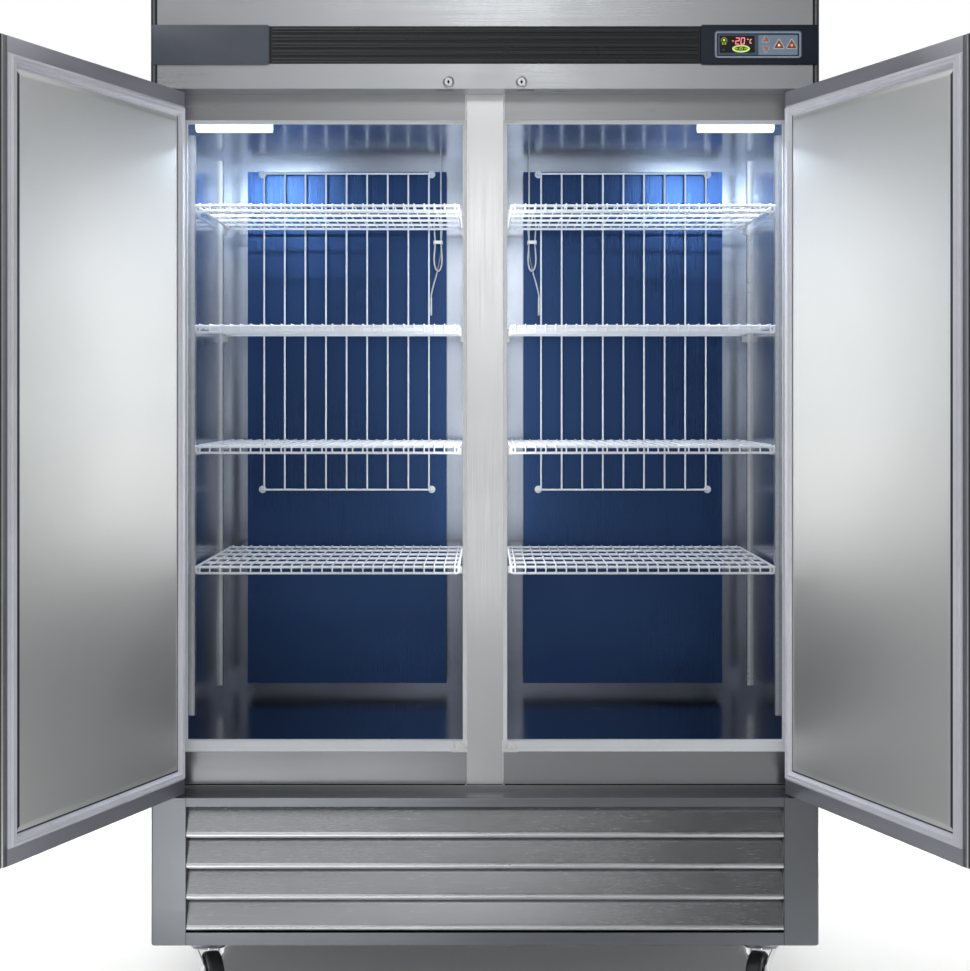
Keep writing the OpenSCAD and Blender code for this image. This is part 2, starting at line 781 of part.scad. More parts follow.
// Clip that hooks into a slot and carries the shelf's side rail
module shelf_clips() color("silver") placed() each_wall()
    for (y = pilaster_y, top = shelf_top) {
        seat = clip_seat(top);
        reach = shelf_side + 8;
        span([pilaster_d, y - clip_w / 2, seat - 16], [pilaster_d + 2, y + clip_w / 2, seat]);
        span([pilaster_d + 1, y - clip_w / 2, seat - 2], [reach, y + clip_w / 2, seat]);
        span([pilaster_d + 1, y - 1, seat - 15], [reach - 3, y + 1, seat - 1]);
        span([pilaster_d - 4, y - 2.5, seat - 14], [pilaster_d + 1, y + 2.5, seat - 8]);
    }

// Wire shelf: frame wires, cross wires and deck wires bent down at the front.
// Wires are prisms, with wire_sides or rail_sides flats
module shelf(top) {
    x0 = -room_x - shelf_w / 2;
    wires = floor((shelf_w - 12) / deck_pitch);
    first = (shelf_w - wires * deck_pitch) / 2;
    zd = top - deck_r;
    zf = top - 2 * deck_r - rail_r + 0.7;
    low = zf - rail_drop;
    for (i = [0:wires]) {
        x = x0 + first + i * deck_pitch;
        rod_y([x, shelf_y0 - deck_r, zd], shelf_d + deck_r - 2, deck_r, $fn = wire_sides);
        rod_z([x, shelf_y0, low], zd - low, deck_r, $fn = wire_sides);
    }
    for (y = [shelf_y0 + rail_r + 0.8, shelf_y0 + shelf_d - rail_r - 3])
        rod_x([x0, y, zf], shelf_w, rail_r, $fn = rail_sides);
    for (i = [1:4])
        rod_x([x0 + 2, shelf_y0 + i * shelf_d / 5, zf], shelf_w - 4, rail_r, $fn = rail_sides);
    rod_x([x0 + 4, shelf_y0 + rail_r + 0.8, low], shelf_w - 8, rail_r - 0.4, $fn = rail_sides);
    for (x = [x0 + rail_r + 0.3, x0 + shelf_w - rail_r - 0.3])
        rod_y([x, shelf_y0 + rail_r, zf - 0.2], shelf_d - 2 * rail_r - 3, rail_r,
            $fn = rail_sides);
}

module shelf_left(i) color("white") placed() shelf(shelf_top[i]);
module shelf_right(i) {
    mirror([1, 0, 0]) shelf_left(i);
}

// Lamp in the upper outer front corner of each compartment
module interior_lights() color("azure") placed() both() difference() {
    along_x(-open_x1 + 16, -open_x1 + 176) polygon([
        [liner_y0 + 6, open_z1], [liner_y0 + 6, open_z1 - 5], [liner_y0 + 14, open_z1 - 14],
        [liner_y0 + 36, open_z1 - 14], [liner_y0 + 44, open_z1 - 5], [liner_y0 + 44, open_z1]
    ]);
    span([-open_x1 + 20, liner_y0 + 18, open_z1 - 20],
        [-open_x1 + 172, liner_y0 + 32, open_z1 - 12]);
}

// Plate and pin of one hinge at height z; the pin points up for dir 1
module hinge_bracket(z, dir) {
    translate([-hinge_x, hinge_back, z]) mirror([0, 0, dir < 0 ? 1 : 0]) {
        linear_extrude(hinge_plate_t) {
            circle(14);
            translate([-14, 0]) square([28, frame_y - hinge_back]);
        }
        rod_z([0, 0, 0], door_gap + pin_l, hinge_pin_r);
    }
}

module hinge_brackets() color("gray") placed() both() {
    hinge_bracket(base_top, 1);
    hinge_bracket(header_z, -1);
}

// Children in a closed left door's plan (u from the free edge, v from the
// front) are set in place and swung open about the hinge
module hung_left() {
    placed() translate([-hinge_x, hinge_back, 0]) rotate([0, 0, -open_angle])
        translate([hinge_x - door_in, -hinge_back, 0]) mirror([1, 0, 0]) children();
}

// Plan of the door's body, drawn in by t
module door_plan(t) {
    polygon([
        [grip_w + t, t], [door_w - t, t], [door_w - t, door_t - t], [t, door_t - t],
        [t, grip_d + t], [grip_back + t, grip_d + t], [grip_back + t, lip_t - t],
        [grip_w + t, lip_t - t]
    ]);
}

// Prism over the door's face, inside the gasket's outer edge by off
module face_box(off, v0, v1) {
    span([margin_free + off, v0, door_z0 + margin_end + off],
        [door_w - margin_hinge - off, v1, door_z1 - margin_end - off]);
}

// Place in the closed door's own plan where a lock's cam enters its top
module cam_pocket(depth) {
    span([lock_x - door_in - cam_w, cam_y - 3, door_z1 - depth],
        [lock_x - door_in + cam_l - 4, cam_y + cam_t + 3, door_z1 + eps]);
}

module door_skin() color("silver") difference() {
    union() {
        difference() {
            translate([0, 0, door_z0]) linear_extrude(door_h) door_plan(0);
            translate([0, 0, door_z0 + skin_t]) linear_extrude(door_h - 2 * skin_t)
                door_plan(skin_t);
        }
        rod_z([hinge_u, hinge_back, door_z0], pin_l + 4, socket_r);
        rod_z([hinge_u, hinge_back, door_z1 - pin_l - 4], pin_l + 4, socket_r);
    }
    face_box(panel_seat, door_t - skin_t - eps, door_t + eps);
    rod_z([hinge_u, hinge_back, door_z0 - eps], pin_l + 2 + eps, hinge_pin_r + run_gap);
    rod_z([hinge_u, hinge_back, door_z1 - pin_l - 2], pin_l + 3, hinge_pin_r + run_gap);
    cam_pocket(skin_t + eps);
}

module door_core() color("wheat") difference() {
    translate([0, 0, door_z0 + skin_t]) linear_extrude(door_h - 2 * skin_t)
        door_plan(skin_t);
    rod_z([hinge_u, hinge_back, door_z0], pin_l + 5, socket_r + seat_gap);
    rod_z([hinge_u, hinge_back, door_z1 - pin_l - 5], pin_l + 6, socket_r + seat_gap);
    cam_pocket(16);
}

// Raised panel with bevelled sides, grown inward by g below its top
module raised(off, top) {
    a = margin_free + off;
    b = door_w - margin_hinge - off;
    z0 = door_z0 + margin_end + off;
    z1 = door_z1 - margin_end - off;
    v0 = door_t - eps;
    w = bevel_w * (top - v0) / panel_rise;
    intersection() {
        translate([0, 0, z0]) linear_extrude(z1 - z0)
            polygon([[a, v0], [a + w, top], [b - w, top], [b, v0]]);
        along_x(a, b) polygon([[v0, z0], [top, z0 + w], [top, z1 - w], [v0, z1]]);
    }
}

module door_panel() color("lightgray") difference() {
    union() {
        face_box(panel_seat + seat_gap, door_t - skin_t, door_t);
        raised(panel_off, door_t + panel_rise);
    }
    raised(panel_off + skin_t, door_t + panel_rise - skin_t);
    face_box(panel_off + skin_t + 1, door_t - skin_t - eps, door_t);
}

// Gasket: a flat foot under a narrower magnetic bead
module door_gasket() color([0.72, 0.72, 0.78]) {
    difference() {
        face_box(0, door_t, door_t + 4);
        face_box(gasket_w, door_t - eps, door_t + 4 + eps);
    }
    difference() {
        face_box(2.5, door_t + 4, door_t + gasket_t);
        face_box(gasket_w - 3, door_t + 3, door_t + gasket_t + eps);
    }
}

// Strip of the grip's lining on the free edge of the door
module edge_strip(l) {
    translate([-l, grip_d - l]) square([l, door_t - 4 - grip_d + l]);
}

// Lining of the grip slot, with solid caps at its ends
module door_pull() color([0.1, 0.1, 0.11]) {
    l = lining_t;
    translate([0, 0, door_z0]) linear_extrude(door_h) {
        edge_strip(l);
        translate([-l, grip_d - l]) square([grip_back + l, l]);
        translate([grip_back - l, lip_t]) square([l, grip_d - lip_t]);
        translate([grip_w - l, lip_t]) square([grip_back - grip_w + l, l]);
        translate([grip_w - l, 0]) square([l, lip_t + l]);
    }
    for (z = [door_z0, door_z1 - grip_cap_h])
        translate([0, 0, z]) linear_extrude(grip_cap_h) {
            edge_strip(l);
            translate([-l, 0]) square([grip_w + l, grip_d]);
            translate([grip_w - l, lip_t]) square([grip_back - grip_w + l, grip_d - lip_t]);
        }
}

module hung_right() {
    mirror([1, 0, 0]) hung_left() children();
}

// Swivel axis of a caster: sx and sy are -1 or 1 for left or right, front or rear
function caster_x(sx) = sx * (half_w - caster_side);
function caster_y(sy) = sy < 0 ? caster_end : cab_d - caster_end;

// Children drawn for a caster that rolls along Y are set at its axis and turned
module at_caster(sx, sy) {
    placed() translate([caster_x(sx), caster_y(sy), 0]) rotate([0, 0, -sx * caster_turn])
        children();
}

module caster_plate() {
    translate([0, 0, base_z - plate_t]) linear_extrude(plate_t) round_rect(100, 84, 8);
    rod_z([0, 0, fork_top + seat_gap], base_z - plate_t - fork_top - seat_gap, 30);
    rod_z([0, 0, fork_top - fork_t - 5], fork_t + 6, king_r);
    rod_z([0, 0, fork_top - fork_t - 8], 8 - seat_gap, king_r + 6);
    for (sx = [-1, 1], sy = [-1, 1])
        translate([sx * 38, sy * 30, base_z - plate_t - 4])
            cylinder(r = 6.5, h = 5, $fn = 6);
}

module caster_plates() color("gainsboro")
    for (sx = [-1, 1], sy = [-1, 1]) placed() translate([caster_x(sx), caster_y(sy), 0])
        caster_plate();

// Leg of the fork, drawn in Y and Z: wide at the head, narrow at the axle
module leg_profile() {
    difference() {
        union() {
            polygon([
                [-32, fork_top], [26, fork_top], [26, fork_top - 12],
                [-caster_trail + 13, wheel_r], [-caster_trail - 13, wheel_r],
                [-36, fork_top - 14]
            ]);
            translate([-caster_trail, wheel_r]) circle(13);
        }
        translate([-10, fork_top - 26]) circle(7);
    }
}

module fork() {
    difference() {
        union() {
            rod_z([0, 0, fork_top - fork_t], fork_t, 34);
            for (s = [-1, 1]) along_x(s < 0 ? -fork_inner - fork_t : fork_inner,
                s < 0 ? -fork_inner : fork_inner + fork_t) leg_profile();
            // Sloping shoulders outside the legs
            for (s = [-1, 1]) along_y(-24, 18) polygon([
                [s * (fork_inner + eps), fork_top - eps],
                [s * (fork_inner + fork_t + shoulder_w), fork_top - eps],
                [s * (fork_inner + fork_t + shoulder_w), fork_top - fork_t],
                [s * (fork_inner + eps), fork_top - shoulder_h]
            ]);
            // Flared skirt round the head
            rotate_extrude() polygon([
                [34, fork_top], [41, fork_top - 2], [43, fork_top - 9],
                [41, fork_top - 9], [39, fork_top - 4], [33, fork_top - 3]
            ]);
        }
        rod_z([0, 0, fork_top - fork_t - eps], fork_t + 2 * eps, king_r + run_gap);
    }
    rod_x([-fork_inner - fork_t - 4, -caster_trail, wheel_r], 2 * (fork_inner + fork_t + 4),
        axle_r);
}

module wheel() {
    translate([0, -caster_trail, wheel_r]) rotate([0, 90, 0]) rotate_extrude() {
        h = wheel_w / 2;
        translate([axle_r + run_gap, -h - 1.5]) square([12, 2 * h + 3]);
        translate([axle_r + 6, -5]) square([wheel_r - axle_r - 12, 10]);
        translate([wheel_r - 14, -h]) square([8, 2 * h]);
        translate([wheel_r - 8, 6 - h]) square([8, 2 * h - 12]);
        for (s = [-1, 1]) translate([wheel_r - 6, s * (h - 6)]) circle(6);
    }
}

module fork_at(sx, sy) color("gainsboro") at_caster(sx, sy) fork();
module wheel_at(sx, sy) color([0.1, 0.1, 0.11]) at_caster(sx, sy) wheel();

// Sensor lead: it comes down from the ceiling, is gathered in a tied hank beside
// the guard, and ends in a probe against the guard's last upright
lead_r = 1.8;
lead_loops = 4;
lead_step = 2 * lead_r + 0.9;
hank_h = 138;
hank_w = 28;
hank_x = -room_x + guard_w / 2 + 22;
hank_z = open_z1 - 202;
hank_y = duct_y - 25;
hank_steps = 22;
probe_r = 3;
probe_l = 42;

// Point on the hank after s turns: a tall loop drawn in at its waist
function hank_point(s) = let(a = -360 * s) [
    hank_w / 2 * cos(a) * (1 - 0.5 * pow(abs(cos(a)), 6)),
    s * lead_step,
    hank_h / 2 * sin(a)
];

// The route from the hank's middle: down from the ceiling, round, and to the probe
hank_top = open_z1 - hank_z - seat_gap;
hank_in = [for (z = [hank_top, 160, 130, 100, 70, 45, 22]) [7, z < 50 ? -3 : -5, z]];
hank_out = [[7, 19, -16], [5, 22, -34], [1, 21, -54], [-4, 17, -76],
    [-9, 11, -94], [-13, 7, -110], [-probe_r - 13.5, 5, -126], [-probe_r - 13.5, 5, -134]];
lead_path = [for (p = concat(hank_in,
    [for (i = [0:lead_loops * hank_steps]) hank_point(i / hank_steps)], hank_out))
    [hank_x, hank_y, hank_z] + p];

// Least gap between stretches of the lead that are over 6 points apart
lead_gap = min([for (i = [0:len(lead_path) - 8], j = [i + 7:len(lead_path) - 1])
    norm(lead_path[i] - lead_path[j])]) - 2 * lead_r;
echo(least_gap_of_the_lead = lead_gap);

module sensor_leads() color("ivory") placed() both() {
    sweep(lead_path, lead_r, 6);
    last = lead_path[len(lead_path) - 1];
    rod_z([last[0], last[1], last[2] - probe_l], probe_l + 4, probe_r);
    // Strap that ties the waist to the duct cover
    strap_w = hank_w / 4 + lead_r + 0.6;
    difference() {
        span([hank_x - strap_w - 1.5, hank_y - 9, hank_z - 4],
            [hank_x + strap_w + 1.5, duct_y, hank_z + 4]);
        span([hank_x - strap_w, hank_y - 7.5, hank_z - 5],
            [hank_x + strap_w, duct_y - 1.5, hank_z + 5]);
    }
}

// Tube of n sides and radius r along the points of a path
module sweep(path, r, n) {
    last = len(path) - 1;
    function dir(i) = let(
        d = i == 0 ? path[1] - path[0]
            : i == last ? path[last] - path[last - 1] : path[i + 1] - path[i - 1]
    ) d / norm(d);
    function side(i) = let(c = cross(dir(i), [0, 1, 0])) c / norm(c);
    rings = [for (i = [0:last]) let(u = side(i), v = cross(dir(i), u))
        for (k = [0:n - 1]) path[i] + r * (cos(360 * k / n) * u + sin(360 * k / n) * v)];
    sides = [for (i = [0:last - 1], k = [0:n - 1]) let(a = i * n + k, b = i * n + (k + 1) % n)
        each [[a, b + n, b], [a, a + n, b + n]]];
    start = [for (k = [1:n - 2]) [0, k, k + 1]];
    stop = [for (k = [1:n - 2]) [last * n, last * n + k + 1, last * n + k]];
    polyhedron(rings, concat(sides, start, stop));
}

outer_case();
insulation();
liners();
face_frame();
breaker_strips();
header_panel();
fascia_panel();
controller_body();
display_window();
lock_housings();
base_frame();
louvre_grille();
compressor();
condenser_coil();
condenser_shroud();
drain_pan();
evaporator_coils();
duct_covers();
wire_guards();
shelf_pilasters();
shelf_clips();
interior_lights();
hinge_brackets();
caster_plates();
sensor_leads();
shelf_left(0);  // shelf_left_1
shelf_left(1);  // shelf_left_2
shelf_left(2);  // shelf_left_3
shelf_left(3);  // shelf_left_4
shelf_right(0);  // shelf_right_1
shelf_right(1);  // shelf_right_2
shelf_right(2);  // shelf_right_3
shelf_right(3);  // shelf_right_4
key(0);  // key_up
key(1);  // key_down
key(2);  // key_left
key(3);  // key_right
lock_plug_left();
lock_plug_right();
condenser_fan();
evaporator_fan_left();
evaporator_fan_right();
hung_left() door_skin();  // door_left_skin
hung_left() door_core();  // door_left_core
hung_left() door_panel();  // door_left_panel
hung_left() door_gasket();  // door_left_gasket
hung_left() door_pull();  // door_left_pull
hung_right() door_skin();  // door_right_skin
hung_right() door_core();  // door_right_core
hung_right() door_panel();  // door_right_panel
hung_right() door_gasket();  // door_right_gasket
hung_right() door_pull();  // door_right_pull
fork_at(-1, -1);  // fork_front_left
fork_at(1, -1);  // fork_front_right
fork_at(-1, 1);  // fork_rear_left
fork_at(1, 1);  // fork_rear_right
wheel_at(-1, -1);  // wheel_front_left
wheel_at(1, -1);  // wheel_front_right
wheel_at(-1, 1);  // wheel_rear_left
wheel_at(1, 1);  // wheel_rear_right
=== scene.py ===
from math import cos, hypot, pi, radians, sin
import bpy
import bmesh
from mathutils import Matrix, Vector


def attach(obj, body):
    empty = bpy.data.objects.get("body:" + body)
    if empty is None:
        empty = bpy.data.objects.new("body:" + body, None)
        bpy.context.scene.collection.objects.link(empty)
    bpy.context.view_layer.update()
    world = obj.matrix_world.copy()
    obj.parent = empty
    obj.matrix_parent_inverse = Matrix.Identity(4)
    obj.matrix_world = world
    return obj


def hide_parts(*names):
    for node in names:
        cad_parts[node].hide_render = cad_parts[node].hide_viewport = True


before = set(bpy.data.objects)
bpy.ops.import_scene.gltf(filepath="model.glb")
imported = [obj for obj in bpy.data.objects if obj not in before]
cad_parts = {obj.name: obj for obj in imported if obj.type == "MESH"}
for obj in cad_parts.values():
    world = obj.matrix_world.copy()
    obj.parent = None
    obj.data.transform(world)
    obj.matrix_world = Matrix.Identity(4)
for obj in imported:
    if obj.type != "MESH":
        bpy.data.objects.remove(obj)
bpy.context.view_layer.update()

# sizes and places in mm, in the part's own frame
MM = 0.001
SIDES = (("left", -1), ("right", 1))
HALF_W, CAB_D, BASE_Z, BASE_TOP, HEADER_Z, CAB_TOP = 686, 835, 128, 432.5, 1889, 2096
FRAME_Y, FOOT_Z, LINER_Y0, HEM_W, HEM_BEAD_X = 74, 443.6, 94, 13, 680.2
OPEN_X0, OPEN_X1, OPEN_Z0, OPEN_Z1 = 39.7, 626, 536.5, 1830
ROOM_X = (OPEN_X0 + OPEN_X1) / 2
BREAKER_W, SILL_H, POST_X, JOINT_X, JOINT_W = 5, 23, 37.6, 39.8, 4.8
SILL_PLATE_X, SILL_PLATE_Z, PLATE_OUT = 38.4, 513.4, 0.25
# black strip, painted shadow in the seam above the frame's foot: (x0, x1, lift, height)
FRAME_SEAM = ((-OPEN_X1 - 4, -38, 0, 2.8), (-38, 36, 1, 1.9), (38, OPEN_X1 + 4, 0, 2.8))
# strips round an opening: (x at the post, top, sill, x at the wall, depth)
STRIP_RINGS = (
    (34.8, 1834.9, 513.6, 630.9, 78), (34.8, 1834.9, 513.6, 630.9, 74.4),
    (35.3, 1834.4, 514.1, 630.4, 73.85), (38.6, 1830.4, 536, 627, 73.85),
    (39.6, 1829.6, 536.3, 625.9, 74.1), (40.4, 1828.6, 536.6, 625.2, 73.6),
    (45.4, 1827.4, 536.8, 622.6, 73.6), (46.4, 1826.8, 537, 621.8, 74.3),
    (46.6, 1826.6, 537, 621.6, 76.5), (40.2, 1829.4, 536.6, 625.5, 80),
    (40.2, 1829.4, 536.6, 625.5, 93.8), (34.8, 1834.9, 513.6, 630.9, 93.8))
SILL_BEAD_X0, SILL_BEAD_X1, SILL_BEAD_Z = 35.4, 630.4, 515.9
# corner clips: (x0, x1, z0, z1, depth of the face)
CLIPS = ((43.5, 66, 1826.6, 1832, 72.9), (34.9, 48.5, 519, 537.6, 73),
         (34.9, 69, 512.2, 519.6, 72.6), (62, 69.6, 519, 537, 73.1),
         (48.5, 62, 519, 533.5, 73.5))
CLIP_BACK, CLIP_R = 76, 0.8

DOOR_W, DOOR_T, DOOR_Z0, DOOR_Z1 = 680, 64, 437, 1884.5
HINGE_X, HINGE_U, HINGE_BACK, OPEN_ANGLE = 668, 664, 18, 108.5
MARGIN_FREE, MARGIN_HINGE, MARGIN_END = 15, 12, 31
GRIP_W, GRIP_D, GRIP_BACK, LIP_T = 26, 34, 46, 14
# across the door's inner face: (inset, height)
PANEL_PROFILE = ((10, 0.05), (22.5, 0.05), (23.6, 0.5), (24.6, 0.9), (31.6, 3), (33.2, 3.35),
                 (34.8, 3.5), (39, 3.5))
GROOVE_PROFILE = ((20.6, 0.02), (20.6, 0.45), (23.4, 0.45), (23.4, 0.02))
SEAL_PROFILE = (
    (0, 0.1), (0, 2.6), (0.9, 3.8), (2.6, 4.1), (3.4, 4.6), (3.9, 6), (4.1, 8.6), (5, 9.6),
    (8.6, 9.7), (9.3, 9), (10.7, 9), (11.4, 9.7), (15.2, 9.6), (16.1, 8.6), (16.3, 6),
    (16.8, 4.6), (17.6, 4.1), (19.1, 3.8), (20, 2.6), (20, 0.1))
# strips on the free edge, darker steel as painted shade: (start, end, height)
EDGE_STRIPS = ((1.6, 5.4, 0.3), (6.6, 13.6, 0.2))

FASCIA_X, FASCIA_Z, FASCIA_H, FASCIA_OUT, PLAIN_W = 684.5, 1937.5, 82, 6, 242.5
RIBS, RIB_EDGE, RIB_BED, OUTER_R, INNER_R = 5, 2.5, 1.2, 1.5, 6
# a rib's section: (depth, height as a share of the pitch)
RIB_SHAPE = ((0, -0.33), (-1.2, -0.335), (-2, -0.3), (-2.9, -0.2), (-3.5, -0.06),
             (-3.7, 0.08), (-3.5, 0.2), (-2.6, 0.27), (-1.2, 0.29), (0, 0.29))
CTRL_Y, KEY_Y, GLASS_Y = -9, -10.2, -8.5
CTRL_RIM, RIM_W, RIM_GROOVE_W = (559.6, 1977.6, 176.6, 54.4, 6, 6), 3.9, 2.6
KEY_ZONE = (600.5, 1976.8, 80, 40.5, 2.5)
# keys: (x, z, side, 1 for up and -1 for down, look of the spot)
KEYS = {"key_up": (575.5, 1987.5, 14, 1, "key_dim"), "key_down": (575.5, 1969.5, 14, -1, "key_dim"),
        "key_left": (602.5, 1976.5, 18, 1, "key_light"),
        "key_right": (628.5, 1976.5, 18, 1, "key_amber")}
KEY_GAP, SMALL_KEY = 2, 16
DIGIT_Z, DIGIT_H = 1979, 12.6
# digits: (x, width, lit bars)
DIGITS = ((513.6, 6.6, "abged"), (524.4, 6.8, "abcdef"))
MINUS = (506.6, 1985.2, 3.6, 0)
UNIT_RING = (538.6, 1988.6, 1)
UNIT_BARS = ((546.6, 1988.4, -3, 0), (543.6, 1988.4, -0.6, -7.6), (543, 1980.8, 3.2, 0))
OVAL_X, OVAL_Z, MARK_X, MARK_Z, SPOT_X, SPOT_Z = 524.8, 1969.4, 490, 1986.8, 488.6, 1967.4
TAIL_TOP, TAIL_LOW = 1981.4, 1977.9
LOCK_X, LOCK_Z, LOCK_R, PLUG_R, PLUG_FACE, KEYWAY_W, KEYWAY_H = 75, 1902.5, 12, 8, -3.3, 2, 6.4

GRILLE_X, GRILLE_Z0, GRILLE_Z1, LOUVRES, NOSE_R, LOUVRE_D = 614, 155, 414, 4, 6.5, 32
BLADE_T, BLADE_GAP, BLADE_SPANS = 0.8, 0.4, 12
NOSE_ANGLES = (270, 255, 240, 226, 213, 200, 188, 176, 164, 154, 146)
# bend above the nose, then the blade's end, from its upper back edge: (depth, height)
FILLET = [(-4.4, 5.4), (-3.2, 7.9), (0.2, 15.2)]
SLOPE_END = ((-10, -6.4), (-8, -1.6), (-7.4, 1))
# rounded edges of the base: (drawn in sideways, drawn in upwards, depth)
BASE_R, BASE_CORNER_STEPS, BASE_SHEET = 5, 6, 2
BASE_RINGS = ((5, 1.2, 0), (2.9, 0.7, 0.5), (1.2, 0.3, 1.7), (0.3, 0, 3.4), (0, 0, 5.2),
              (0, 0, CAB_D - 2.5), (0.8, 0.8, CAB_D - 0.6), (2.4, 2.4, CAB_D))
VENTS, VENT_X, VENT_Z, VENT_PITCH, VENT_W, VENT_H, VENT_R = 8, 300, 65, 24, 440, 10, 4.5

SHELF_W, SHELF_D, SHELF_Y0 = 560, 560, 104
SHELF_TOP = (1664.5, 1410.5, 1156.5, 902.5)
RAIL_R, DECK_R, DECK_PITCH, DECK_BEND, RAIL_DROP, CROSS_SPANS = 3, 1.6, 21.5, 2.6, 13, 5
GUARD_W, GUARD_Y, GUARD_Z0, GUARD_Z1, GUARD_R, GUARD_WIRES = 396, 680, 1034, 1794, 2.2, 9
DUCT_Y = 700
LAMP_X0, LAMP_X1 = OPEN_X1 - 176, OPEN_X1 - 16
# a lamp cover's section: (depth behind the liner's edge, drop from the ceiling)
LAMP_SHAPE = ((6, 0), (6, 4.6), (8.2, 8.8), (12, 12.6), (15, 14), (35, 14), (38, 12.6),
              (41.8, 8.8), (44, 4.6), (44, 0))

LEAD_R, LEAD_LOOPS, LEAD_GAP, HANK_H, HANK_W, HANK_STEPS = 1.8, 4, 0.9, 138, 28, 22
HANK_X, HANK_Y, HANK_Z = -ROOM_X + GUARD_W / 2 + 22, DUCT_Y - 25, OPEN_Z1 - 202
# the lead's way down to the hank and on to the probe, from the hank's middle
LEAD_IN = [(7, -5, z) for z in (OPEN_Z1 - HANK_Z - 0.3, 160, 130, 100, 70)]
LEAD_IN += [(7, -3, z) for z in (45, 22)]
LEAD_OUT = [(7, 19, -16), (5, 22, -34), (1, 21, -54), (-4, 17, -76), (-9, 11, -94), (-13, 7, -110),
            (-16.5, 5, -126), (-16.5, 5, -134)]
PROBE_R, PROBE_L, STRAP_H = 3, 42, 4

WHEEL_R, WHEEL_W, TRAIL, TURN, FORK_TOP = 50, 32, 28, 22, 117
FORK_IN, KING_R, AXLE_R, CASTER_X = 18, 8, 6, 579
CASTERS = {"front": 86, "rear": 749}
FORK_STEPS, RIB_STEPS, FORK_RIBS, FORK_RIB_H, FORK_T, TREAD_R = 12, 16, 3, 1.5, 3, 7
# the fork's head: (radius, drop from its top)
FORK_HEAD = ((KING_R + 0.6, 4), (KING_R + 0.6, 0.4), (KING_R + 1.4, 0), (33, 0), (37, 0.7),
             (40.4, 2.6), (42.4, 5.8), (43, 9), (41.6, 9), (40.6, 6.4), (38.6, 4.6), (35, 4))


def door_reach(u, v):
    """Depth of a point of the open door, before the origin is moved."""
    a = radians(OPEN_ANGLE)
    return HINGE_BACK - (HINGE_U - u) * sin(a) + (v - HINGE_BACK) * cos(a)


MID_Y = (CAB_D + min(door_reach(-1.5, DOOR_T - 4), door_reach(0, DOOR_T))) / 2


def P(x, y, z):
    """A place in mm as a vector in metres, in the shared frame."""
    return Vector((x, y - MID_Y, z)) * MM


def linked(name, data):
    """A new object in the scene."""
    obj = bpy.data.objects.new(name, data)
    bpy.context.scene.collection.objects.link(obj)
    return obj


def mesh_object(name, bm):
    """A new object from a bmesh, which is used up."""
    mesh = bpy.data.meshes.new(name)
    bm.to_mesh(mesh)
    bm.free()
    return linked(name, mesh)


def give(data, **settings):
    """Sets properties of a lamp, a camera or a modifier."""
    for key, value in settings.items():
        setattr(data, key, value)


# camera
cam = linked("camera", bpy.data.cameras.new("camera"))
bpy.context.scene.camera = cam
cam.location = P(0, -3990, 1247.3)
cam.rotation_euler = (radians(90), 0, 0)
give(cam.data, sensor_width=36, lens=72.02, shift_y=-0.087, clip_end=200)

# materials
MATS = {}
WHITE = (1, 1, 1, 1)
BRUSH_DEPTH, GRAIN_DEPTH = 0.0004, 0.0003
ALONG_X, ALONG_Z, EVEN = (2.5, 420, 420), (420, 420, 2.5), (60, 60, 60)


class Nodes:
    """Short ways to make and join nodes in one node tree."""

    def __init__(self, tree):
        self.tree = tree

    def add(self, kind, **settings):
        """Names with a capital are sockets, the others belong to the node."""
        node = self.tree.nodes.new(kind)
        for key, value in settings.items():
            if key[0].isupper():
                self.put(node.inputs[key.replace("_", " ")], value)
            else:
                setattr(node, key, value)
        return node

    def put(self, socket, value):
        if isinstance(value, bpy.types.NodeSocket):
            self.tree.links.new(value, socket)
        else:
            socket.default_value = value

    def maths(self, op, a, b):
        node = self.add("ShaderNodeMath", operation=op)
        self.put(node.inputs[0], a)
        self.put(node.inputs[1], b)
        return node.outputs[0]

    def ramp(self, value, lo, hi, a=0, b=1, **settings):
        return self.add("ShaderNodeMapRange", Value=value, From_Min=lo, From_Max=hi,
                        To_Min=a, To_Max=b, **settings).outputs["Result"]

    def split(self, vector):
        return self.add("ShaderNodeSeparateXYZ", Vector=vector).outputs

    def seen(self):
        """1 where the camera, a mirror or a clear thing looks, and 0 for other light."""
        path = self.add("ShaderNodeLightPath").outputs
        return self.maths("MAXIMUM", path["Is Camera Ray"],
                          self.maths("MAXIMUM", path["Is Glossy Ray"], path["Is Transmission Ray"]))


class Look(Nodes):
    """A named material and its Principled shader."""

    def __init__(self, name):
        mat = bpy.data.materials.new(name)
        mat.use_nodes = True
        MATS[name] = mat
        super().__init__(mat.node_tree)
        self.bsdf = self.tree.nodes["Principled BSDF"]
        self.coord = self.add("ShaderNodeTexCoord").outputs["Object"]

    def set(self, **sockets):
        for key, value in sockets.items():
            self.put(self.bsdf.inputs[key.replace("_", " ")], value)

    def stretched(self, scale):
        return self.add("ShaderNodeMapping", Vector=self.coord, Scale=scale).outputs["Vector"]

    def noise(self, vector, scale, detail=4, rough=0.6):
        return self.add("ShaderNodeTexNoise", Vector=vector, Scale=scale, Detail=detail,
                        Roughness=rough).outputs["Fac"]

    def tint(self, fac, a, b):
        node = self.add("ShaderNodeMix", data_type="RGBA")
        for index, value in ((0, fac), (6, (*a, 1)), (7, (*b, 1))):
            self.put(node.inputs[index], value)
        return node.outputs[2]

    def bump(self, height, strength, distance):
        return self.add("ShaderNodeBump", Height=height, Strength=strength,
                        Distance=distance).outputs["Normal"]


def shades(color, share):
    """A darker and a paler shade of a colour."""
    return [c * (1 - share) for c in color], [min(1, c * (1 + share)) for c in color]


